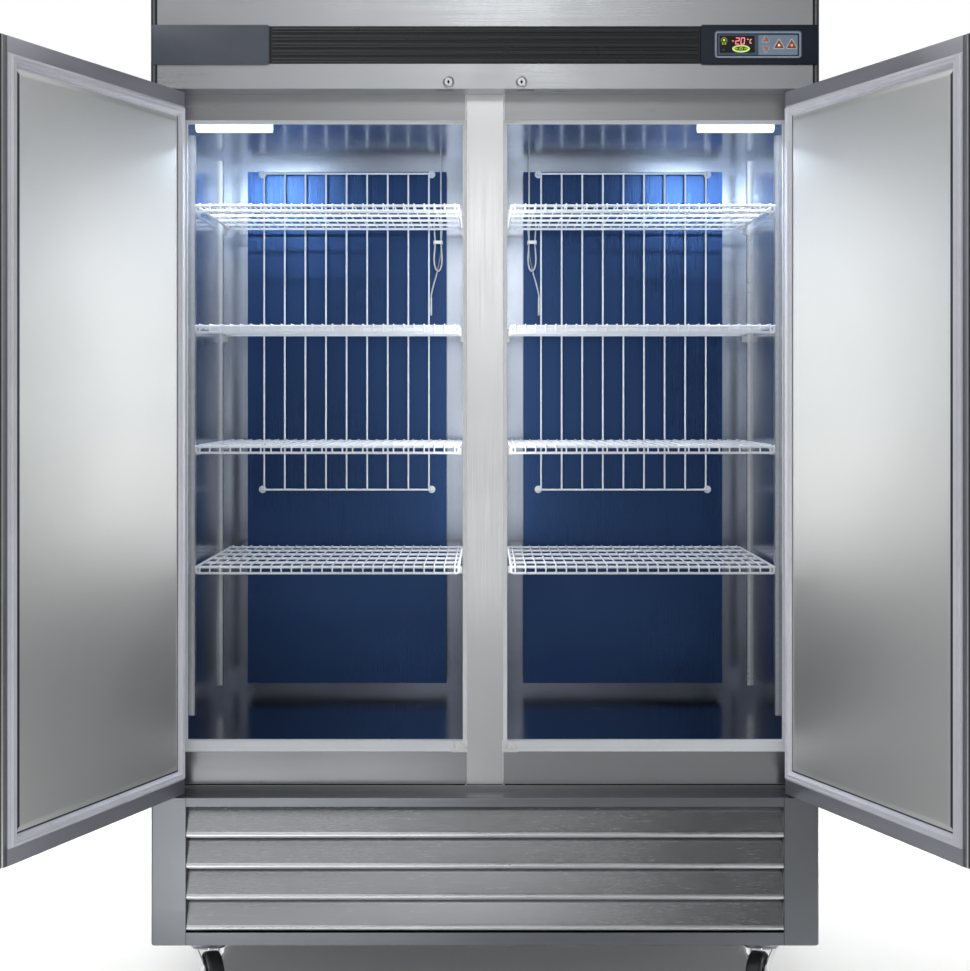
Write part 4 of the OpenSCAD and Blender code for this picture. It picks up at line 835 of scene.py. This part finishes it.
def build_display():
    """Lit signs on the display: temperature, unit, oval field and status marks."""
    lit, core = bmesh.new(), bmesh.new()

    def patch(bm, outline, out, mat=0):
        layers(bm, outline, ((GLASS_Y + 0.1, 0), (GLASS_Y - out, 0)), mat)

    def bar(x, z, dx, dz, glow_w=1.35, core_w=0.62):
        length = hypot(dx, dz)
        for bm, w, out in ((lit, glow_w, 0.15), (core, core_w, 0.25)):
            ux, uz = w * dx / length, w * dz / length
            outline = [(x - ux * 0.6, z - uz * 0.6), (x + uz, z - ux),
                       (x + dx + uz, z + dz - ux), (x + dx + ux * 0.6, z + dz + uz * 0.6),
                       (x + dx - uz, z + dz + ux), (x - uz, z + ux)]
            patch(bm, outline, out)

    def digit(x, w, parts, lean=1):
        h, m = DIGIT_H, DIGIT_H / 2
        where = {"a": (0, h, w, 0), "b": (w, m, 0, m), "c": (w, 0, 0, m), "d": (0, 0, w, 0),
                 "e": (0, 0, 0, m), "f": (0, m, 0, m), "g": (0, m, w, 0)}
        for p in parts:
            px, pz, dx, dz = where[p]
            bar(x + px + lean * pz / h, DIGIT_Z + pz, dx + lean * dz / h, dz)

    bar(*MINUS)
    for row in DIGITS:
        digit(*row)
    for a0 in (0, 180):
        pts = arc(*UNIT_RING, a0, a0 + 180, 4)
        for p, q in zip(pts, pts[1:]):
            bar(p[0], p[1], q[0] - p[0], q[1] - p[1], 0.75, 0.35)
    for row in UNIT_BARS:
        bar(*row, 1.2, 0.55)
    piece("display_red", lit, "led_red", "window")
    piece("display_cores", core, "led_core", "window")

    bm = bmesh.new()
    cx, cz = OVAL_X, OVAL_Z + 0.3
    # middle, half sizes, corners, height and look
    for *oval, out, mat in (
            (cx, OVAL_Z, 18.2, 7.8, 40, 0.1, 0), (cx, cz, 13.8, 4.6, 36, 0.16, 1),
            (cx, cz, 3.6, 3.2, 20, 0.22, 2), (cx - 9.4, cz, 2.6, 1.5, 20, 0.22, 2),
            (cx + 9.4, cz, 2.6, 1.5, 20, 0.22, 2), (cx, cz, 1.6, 1.5, 16, 0.28, 1),
            (MARK_X, MARK_Z, 6.6, 6.6, 28, 0.1, 3), (MARK_X, MARK_Z, 4.7, 4.7, 24, 0.16, 4),
            (MARK_X, MARK_Z + 0.4, 2.3, 2.5, 16, 0.22, 5), (SPOT_X, SPOT_Z, 4.6, 3.6, 6, 0.1, 4),
            (SPOT_X, SPOT_Z, 3, 2.2, 6, 0.14, 6)):
        patch(bm, disc(*oval), out, mat)
    for sx in (-1, 1):
        low, top = MARK_X + sx * 2.6, MARK_X + sx * 3
        patch(bm, [(low - 1.5, TAIL_LOW), (low + 1.5, TAIL_LOW), (top + 1.3, TAIL_TOP),
                   (top - 1.3, TAIL_TOP)], 0.22, 2)
    piece("display_green", bm, ["led_green", "led_olive", "led_lime", "led_olive_dim",
                                "window_black", "led_yellow", "led_faint"], "window")


def build_locks():
    """Polished lock rings with a groove round the plug, and the keyways as black patches, painted
    shade.
    """
    bm = bmesh.new()
    r = PLUG_R
    ring = [(r + 0.4, -1), (r + 0.4, 2.3), (r + 1, 2.9), (r + 1.7, 2.9), (r + 2, 2.4),
            (r + 2.3, 2.9), (LOCK_R - 1, 3), (LOCK_R - 0.3, 2.5), (LOCK_R, 1.2), (LOCK_R, -1)]
    sleeve = [(r + 0.4, -19), (r + 0.4, -1.2), (r + 1.8, -1.2), (r + 1.8, -19)]
    for _, side in SIDES:
        for profile, sides in ((ring, 40), (sleeve, 32)):
            lathe(bm, profile, P(side * LOCK_X, 0, LOCK_Z), (0, -1, 0), sides, True)
    piece("lock_rings", bm, "lock_ring", "chrome", ["lock_housings"], smooth=50)
    for name, side in SIDES:
        bm = bmesh.new()
        slot = round_rect(side * LOCK_X, LOCK_Z, KEYWAY_W, KEYWAY_H, 0.6, 2)
        mouth = disc(side * LOCK_X, LOCK_Z, 2.6, 2.6, 20)
        for outline, out in ((slot, 0.36), (mouth, 0.28)):
            layers(bm, outline, ((PLUG_FACE, 0), (PLUG_FACE - out, 0)))
        piece(f"lock_keyway_{name}", bm, "gap_black", "chrome", body=f"lock_plug_{name}")


build_fascia()
build_controller()
build_display()
build_locks()


# header hems, frame and sill
def build_hems():
    """Folded edges at the ends of the header, darkened as painted shade, with a less dark bead in
    each as a painted highlight line.
    """
    bm = bmesh.new()
    z0, z1 = HEADER_Z + 0.5, CAB_TOP - 0.5
    for _, side in SIDES:
        box(bm, (side * (HALF_W - HEM_W), -0.3, z0), (side * HALF_W, 0.3, z1))
        bead(bm, (z0, z1), -0.2, side * HEM_BEAD_X, 5.4, 1, 1)
    piece("header_hems", bm, ["steel_dark", "steel_bead"])


def build_frame_trim():
    """Joint strips beside the centre post, paler above the openings as a painted highlight, its
    plate, the sill plates and the foot in darker steel as painted shade, and a black strip as the
    painted shadow in the seam.
    """
    bm = bmesh.new()
    for _, side in SIDES:
        for mat, ends in enumerate(((OPEN_Z1 + BREAKER_W, HEADER_Z - 0.3),
                                    (FOOT_Z, OPEN_Z0 - SILL_H))):
            bead(bm, ends, FRAME_Y, side * JOINT_X, JOINT_W, 0.2, mat)
    piece("frame_joints", bm, ["steel_lip", "steel_joint"])
    y0, y1, z0 = FRAME_Y - PLATE_OUT, FRAME_Y + 0.5, FOOT_Z + 2.6
    boxes("frame_sill_plates", "steel_plate",
          [((side * SILL_PLATE_X, y0, z0), (side * (HALF_W - 3), y1, SILL_PLATE_Z))
           for _, side in SIDES], bevel=0.1)
    boxes("mullion_plate", "steel_mullion", [((-POST_X, y0, z0), (POST_X, y1, HEADER_Z - 0.5))],
          bevel=0.1)
    boxes("frame_seam", "gap_black",
          [((x0, FRAME_Y - 0.15, FOOT_Z + lift), (x1, y1, FOOT_Z + lift + h))
           for x0, x1, lift, h in FRAME_SEAM])
    boxes("frame_foot", "steel_plate", [((2 - HALF_W, FRAME_Y - 1.2, BASE_TOP - 0.3),
                                         (HALF_W - 2, FRAME_Y + 0.3, FOOT_Z - 0.4))], bevel=0.4)


def build_openings():
    """Pale strips round the two openings, the sills with their beads and the corner clips."""
    bm = bmesh.new()
    for _, side in SIDES:
        round_loft(bm, [[P(side * x, y, z) for x, z in corners(post, wall, low, top)]
                        for post, top, low, wall, y in STRIP_RINGS])
        bead(bm, (side * SILL_BEAD_X0, side * SILL_BEAD_X1), FRAME_Y, SILL_BEAD_Z, 4.6, 1.3,
             upright=False)
    piece("opening_strips", bm, "trim", "trim", ["breaker_strips"], smooth=40)
    bm = bmesh.new()
    for _, side in SIDES:
        for x0, x1, z0, z1, y in CLIPS:
            outline = corner_rect(*sorted((side * x0, side * x1)), z0, z1, CLIP_R, CLIP_R)
            pillow(bm, outline, CLIP_BACK, y, CLIP_R)
    piece("corner_clips", bm, "clip_white", "trim")


build_hems()
build_frame_trim()
build_openings()


# base and grille
def build_base():
    """Folded base with rounded front edges, louvre opening and rear slots."""
    bm = bmesh.new()

    def rim(ix, iz, y):
        w, z0, z1, r, steps = HALF_W - ix, BASE_Z + iz, BASE_TOP - iz, BASE_R, BASE_CORNER_STEPS
        pts = [(w, z1), (-w, z1)] + arc(-w + r, z0 + r, r, 180, 270, steps)
        return [P(x, y, z) for x, z in pts + arc(w - r, z0 + r, r, 270, 360, steps)]

    rings = loft(bm, [rim(*row) for row in BASE_RINGS], caps=False)
    grille = corners(-GRILLE_X, GRILLE_X, GRILLE_Z0, GRILLE_Z1)
    hole, back = verts(bm, grille, 0), verts(bm, grille, LOUVRE_D - 10)
    fill(bm, [rings[0], hole])
    for i in range(len(grille)):
        j = (i + 1) % len(grille)
        bm.faces.new((hole[i], hole[j], back[j], back[i]))
    vents = [round_rect(side * VENT_X, BASE_Z + VENT_Z + i * VENT_PITCH, VENT_W, VENT_H, VENT_R, 4)
             for _, side in SIDES for i in range(VENTS)]
    fill(bm, [rings[-1]] + [verts(bm, vent, CAB_D) for vent in vents])
    obj = piece("base_shell", bm, "steel_base", nodes=["base_frame"], smooth=30)
    give(obj.modifiers.new("sheet", "SOLIDIFY"), thickness=BASE_SHEET * MM, offset=-1)
    # painted shade: dark grey strips in the joints beside the louvre opening
    levels = (BASE_Z + 0.6, GRILLE_Z0 - 0.5, GRILLE_Z1 + 0.5, BASE_TOP - 1)
    boxes("base_seams", "seam_grey",
          [((side * (GRILLE_X + 0.6) - 0.6, -0.12, z0), (side * (GRILLE_X + 0.6) + 0.6, 0.3, z1))
           for _, side in SIDES for z0, z1 in zip(levels, levels[1:])])


def build_grille():
    """Sloping louvre blades, each with a rolled nose below its front edge, the nose in paler steel as
    a painted highlight, and black bars and a black back sheet behind as painted shade.
    """
    pitch = (GRILLE_Z1 - GRILLE_Z0 - 4) / LOUVRES
    back, top = LOUVRE_D - NOSE_R, pitch - NOSE_R - 3
    nose = [(NOSE_R * cos(radians(a)), NOSE_R * sin(radians(a))) for a in NOSE_ANGLES]
    skin = nose + FILLET + [(back + a, top + b) for a, b in SLOPE_END]
    inner = []
    for k, (a, b) in enumerate(skin):
        d = (Vector(skin[min(len(skin) - 1, k + 1)]) - Vector(skin[max(0, k - 1)])).normalized()
        inner.append((a + d.y * BLADE_T, b - d.x * BLADE_T))
    section = skin + inner[::-1]
    end = GRILLE_X - BLADE_GAP
    stations = [-end + k * 2 * end / BLADE_SPANS for k in range(BLADE_SPANS + 1)]
    for i in range(LOUVRES):
        cz = GRILLE_Z0 + 3 + NOSE_R + i * pitch
        bm = bmesh.new()
        loft(bm, [[P(x, NOSE_R + a, cz + b) for a, b in section] for x in stations])
        # painted highlight: the nose faces get the paler steel
        for f in bm.faces:
            if f.calc_center_median().z < (cz + NOSE_R - 1.6) * MM:
                f.material_index = 1
        piece(f"louvre_{i + 1}", bm, ["steel_louvre", "steel_nose"], nodes=["louvre_grille"],
              smooth=40)
    # painted shade: bars, end plates and a sheet behind the blades, all black, stand in for the dark
    # inside the base
    bars = [((x - 1, LOUVRE_D + 1, GRILLE_Z0), (x + 1, LOUVRE_D + 4, GRILLE_Z1))
            for x in (-GRILLE_X / 3, GRILLE_X / 3)]
    bars += [((side * end, LOUVRE_D - 6, GRILLE_Z0),
              (side * (GRILLE_X - 2.4), LOUVRE_D + 4, GRILLE_Z1)) for _, side in SIDES]
    bars.append(((-end, LOUVRE_D + 3, GRILLE_Z0), (end, LOUVRE_D + 4.2, GRILLE_Z1)))
    boxes("grille_back", "gap_black", bars, ["louvre_grille"])


build_base()
build_grille()


# casters
def caster_at(sx, cy):
    """Maps a caster's own X (axle), Y (back) and Z to its turned place."""
    a = radians(-sx * TURN)

    def at(x, y, z):
        return P(sx * CASTER_X + x * cos(a) - y * sin(a),
                 cy + x * sin(a) + y * cos(a), z)
    return at


def build_fork(name, at):
    """Domed head and two ribbed cheeks, pressed from sheet, and the axle with its nuts."""
    body = f"fork_{name}"
    along = at(1, 0, 0) - at(0, 0, 0)
    bm = bmesh.new()
    lathe(bm, [(r, FORK_TOP - drop) for r, drop in FORK_HEAD], at(0, 0, 0), (0, 0, 1), 64, True)
    for s in (-1, 1):
        loops = []
        for k in range(FORK_STEPS + 1):
            f = k / FORK_STEPS
            z = FORK_TOP - 5 - f * (FORK_TOP - 5 - WHEEL_R + 8)
            x_out = s * (FORK_IN + 4 + 15.5 * max(0, 1 - f / 0.66) ** 1.25)
            y0 = -24 - 12 * min(1, f * 1.2) - 0.4 * (TRAIL - 20) * f
            y1 = 20 - f * 34
            ribs = []
            for g in (j / RIB_STEPS for j in range(RIB_STEPS + 1)):
                lift = FORK_RIB_H * (0.5 - 0.5 * cos(2 * pi * g * FORK_RIBS))
                edge = 2.4 * (1 - min(1, g / 0.08, (1 - g) / 0.08)) ** 2
                ribs.append((x_out + s * (lift - FORK_RIB_H - edge), y0 + g * (y1 - y0)))
            inner = [(x - s * FORK_T, y) for x, y in reversed(ribs)]
            loops.append([at(x, y, z) for x, y in ribs + inner])
        loft(bm, loops)
        boss = [(AXLE_R, -0.2), (12.4, -0.2), (13, 0.6), (13, 4.2), (11.8, 5), (AXLE_R, 5)]
        lathe(bm, boss, at(s * FORK_IN, -TRAIL, WHEEL_R), s * along, 32, True)
    piece(f"{body}_pressing", bm, "chrome", "chrome", [body], body, smooth=40)
    bm = bmesh.new()
    half = FORK_IN + 8
    side = [(AXLE_R, half - 2), (5.4, half + 0.6), (4.5, half + 1.5), (0, half + 1.5)]
    lathe(bm, [(r, -h) for r, h in reversed(side)] + side, at(0, -TRAIL, WHEEL_R), along, 24)
    for s in (-1, 1):
        lathe(bm, [(0, 0), (9, 0), (9, 3.6), (8, 4.4), (0, 4.4)],
              at(s * (FORK_IN + 5), -TRAIL, WHEEL_R), along * s, 6)
    piece(f"{body}_axle", bm, "zinc", "zinc", [body], body)


def build_wheel(name, at):
    """Tyre with rounded shoulders on a dished hub."""
    body = f"wheel_{name}"
    along, centre = at(1, 0, 0) - at(0, 0, 0), at(0, -TRAIL, WHEEL_R)
    h, tyre_in, hub_r = WHEEL_W / 2, WHEEL_R - 12.5, WHEEL_R - 12.6
    tread = [(tyre_in - 1, 1 - h), (tyre_in, -h)]
    tread += [(WHEEL_R - TREAD_R * (1 - sin(a)), TREAD_R * (1 - cos(a)) - h)
              for a in (radians(step) for step in range(0, 91, 15))]
    hub = [(AXLE_R + 0.4, -h - 1), (13, -h - 1), (14, -h), (14.6, -7), (17, -5.5), (hub_r - 5, -5.5),
           (hub_r - 3.4, -7.5), (hub_r - 2.6, -h + 1.6), (hub_r, -h + 1.2)]
    for part, look, half, sides, smooth in (("tyre", "tyre", tread, 72, 50),
                                            ("hub", "wheel_hub", hub, 48, 40)):
        bm = bmesh.new()
        lathe(bm, half + [(r, -p) for r, p in reversed(half)], centre, along, sides, True)
        piece(f"{body}_{part}", bm, look, "tyre", [body], body, smooth=smooth)


for end, cy in CASTERS.items():
    for name, side in SIDES:
        build_fork(f"{end}_{name}", caster_at(side, cy))
        build_wheel(f"{end}_{name}", caster_at(side, cy))


# lamp covers
def build_lamp_covers():
    """Glowing covers of the ceiling lamps."""
    bm = bmesh.new()
    for _, side in SIDES:
        loft(bm, [[P(side * x, LINER_Y0 + y, OPEN_Z1 - drop) for y, drop in LAMP_SHAPE]
                  for x in (LAMP_X0, LAMP_X1)])
    piece("lamp_covers", bm, "lamp", "lamp", ["interior_lights"], bevel=0.8)


build_lamp_covers()

# floor and world, in metres
FLOOR_R, FLOOR_NEAR, FLOOR_FAR, WORLD_LIGHT = 60, 1.1, 2.8, 0.16


def build_floor():
    """Pale floor that keeps the shadow near the object and runs into white behind it."""
    bm = bmesh.new()
    bmesh.ops.create_circle(bm, cap_ends=True, segments=64, radius=FLOOR_R)
    floor = mesh_object("floor", bm)
    n = Look("floor")
    away = n.ramp(n.split(n.coord)["Y"], FLOOR_NEAR, FLOOR_FAR, 0.05, 0.85)
    n.set(Base_Color=n.tint(n.noise(n.coord, 1.2, 3), (0.84, 0.84, 0.84), (0.86, 0.86, 0.86)),
          Roughness=0.9, Specular_IOR_Level=0.1, Emission_Color=WHITE,
          Emission_Strength=n.maths("MULTIPLY", n.seen(), away))
    floor.data.materials.append(MATS["floor"])


def build_world():
    """Even dim light; the camera and mirrors see white behind, and grey bands in front."""
    world = bpy.data.worlds.new("world")
    bpy.context.scene.world = world
    world.use_nodes = True
    n = Nodes(world.node_tree)
    place = n.split(n.add("ShaderNodeTexCoord").outputs["Generated"])

    def band(axis, *ends):
        return n.ramp(place[axis], *ends, interpolation_type="SMOOTHSTEP")

    sideways = n.maths("SUBTRACT", 1, n.maths("MULTIPLY", band("Z", 0.34, 0.54, 0, 1),
                                                band("X", -0.26, 0.08, -1.7, 0.98)))
    front = n.maths("MULTIPLY", band("Z", 0.08, 0.24, 0.25, 0.33), sideways)
    level = n.maths("MAXIMUM", front, band("Y", -0.35, 0.3, 0, 1))
    light = n.tree.nodes["Background"]
    n.put(light.inputs["Color"], WHITE)
    n.put(light.inputs["Strength"], WORLD_LIGHT)
    view = n.add("ShaderNodeBackground", Color=WHITE, Strength=level)
    mix = n.add("ShaderNodeMixShader", Fac=n.seen())
    n.put(mix.inputs[1], light.outputs[0])
    n.put(mix.inputs[2], view.outputs[0])
    n.put(n.tree.nodes["World Output"].inputs["Surface"], mix.outputs[0])


build_floor()
build_world()


# lamps, in metres
def lamp(name, kind, place, target, energy, color=(1, 1, 1), **settings):
    """Lamp at a place, turned to a target."""
    data = bpy.data.lights.new(name, kind)
    give(data, energy=energy, color=color, **settings)
    obj = linked(name, data)
    obj.location = place
    obj.rotation_euler = (Vector(target) - Vector(place)).to_track_quat("-Z", "Y").to_euler()
    return obj


def panel_light(name, place, target, width, height, radiance, color=(1, 1, 1)):
    """Rectangular lamp of a given brightness."""
    return lamp(name, "AREA", place, target, radiance * pi * width * height, color,
                shape="RECTANGLE", size=width, size_y=height)


# place, target, width, height, brightness
STUDIO = {
    "key": ((-1.4, -2.5, 4.6), (-0.2, -0.2, 1), 2, 1.6, 3.6),
    "strip": ((0, -6, 1.35), (0, 0, 1.35), 0.6, 2.52, 1.22),
    "strip_mid": ((0, -5.9, 2.02), (0, 0, 2.02), 0.55, 0.85, 0.65),
    "strip_head": ((0, -6, 3.43), (0, 0, 3.43), 0.6, 0.76, 1.7),
    "strip_top": ((0, -5.9, 3.35), (0, 0, 2), 1.4, 1.1, 1.25),
    "soft": ((0, -5.5, 2.4), (0, 0, 1.2), 3, 2.4, 1.8),
    "back_floor": ((0, 3.4, 4.5), (0, 1.6, 0), 6, 2, 1.5),
    "low_left": ((-1.15, -1.22, 0.02), (-1.15, -1.22, 2), 1, 1.15, 2.3),
    "low_mid": ((-0.42, -1.22, 0.02), (-0.42, -1.22, 2), 0.66, 1.15, 2.3),
}
# inside a compartment, at its middle or walls: depth in mm, width, brightness
GLOWS_INSIDE = {"front": (180, 0.36, 1.95), "rear": (500, 0.3, 1.1)}
WARM, COOL, FILL = (1, 0.99, 0.965), (0.75, 0.87, 1), (0.8, 0.9, 1)
made = {name: panel_light(name, *row) for name, row in STUDIO.items()}
made["soft"].visible_glossy = False
for name in ("low_left", "low_mid"):
    made[name].visible_diffuse = False
for name, side in SIDES:
    lamp(f"side_floor_{name}", "SPOT", (side * 2.2, 1.9, 2.4), (side * 1.2, 0.75, 0), 370,
         spot_size=radians(56), spot_blend=0.7, shadow_soft_size=0.3)
    lamp(f"room_{name}", "AREA", P(side * 530, 128, OPEN_Z1 - 18), P(side * 420, 330, 900), 2.3,
         COOL, shape="RECTANGLE", size=0.15, size_y=0.02)
    for part, (y, width, level) in GLOWS_INSIDE.items():
        panel_light(f"glow_{part}_{name}", P(side * 50, y, 1320), P(side * OPEN_X1, y, 1320), width,
                    0.88, level, WARM)
    fill = panel_light(f"fill_{name}", P(side * 333, 100, 1822), P(side * 333, 420, 1000), 0.5,
                       0.05, 4.6, FILL)
    fill.visible_glossy = False

# closing lines
bpy.context.scene.view_settings.view_transform = "Standard"
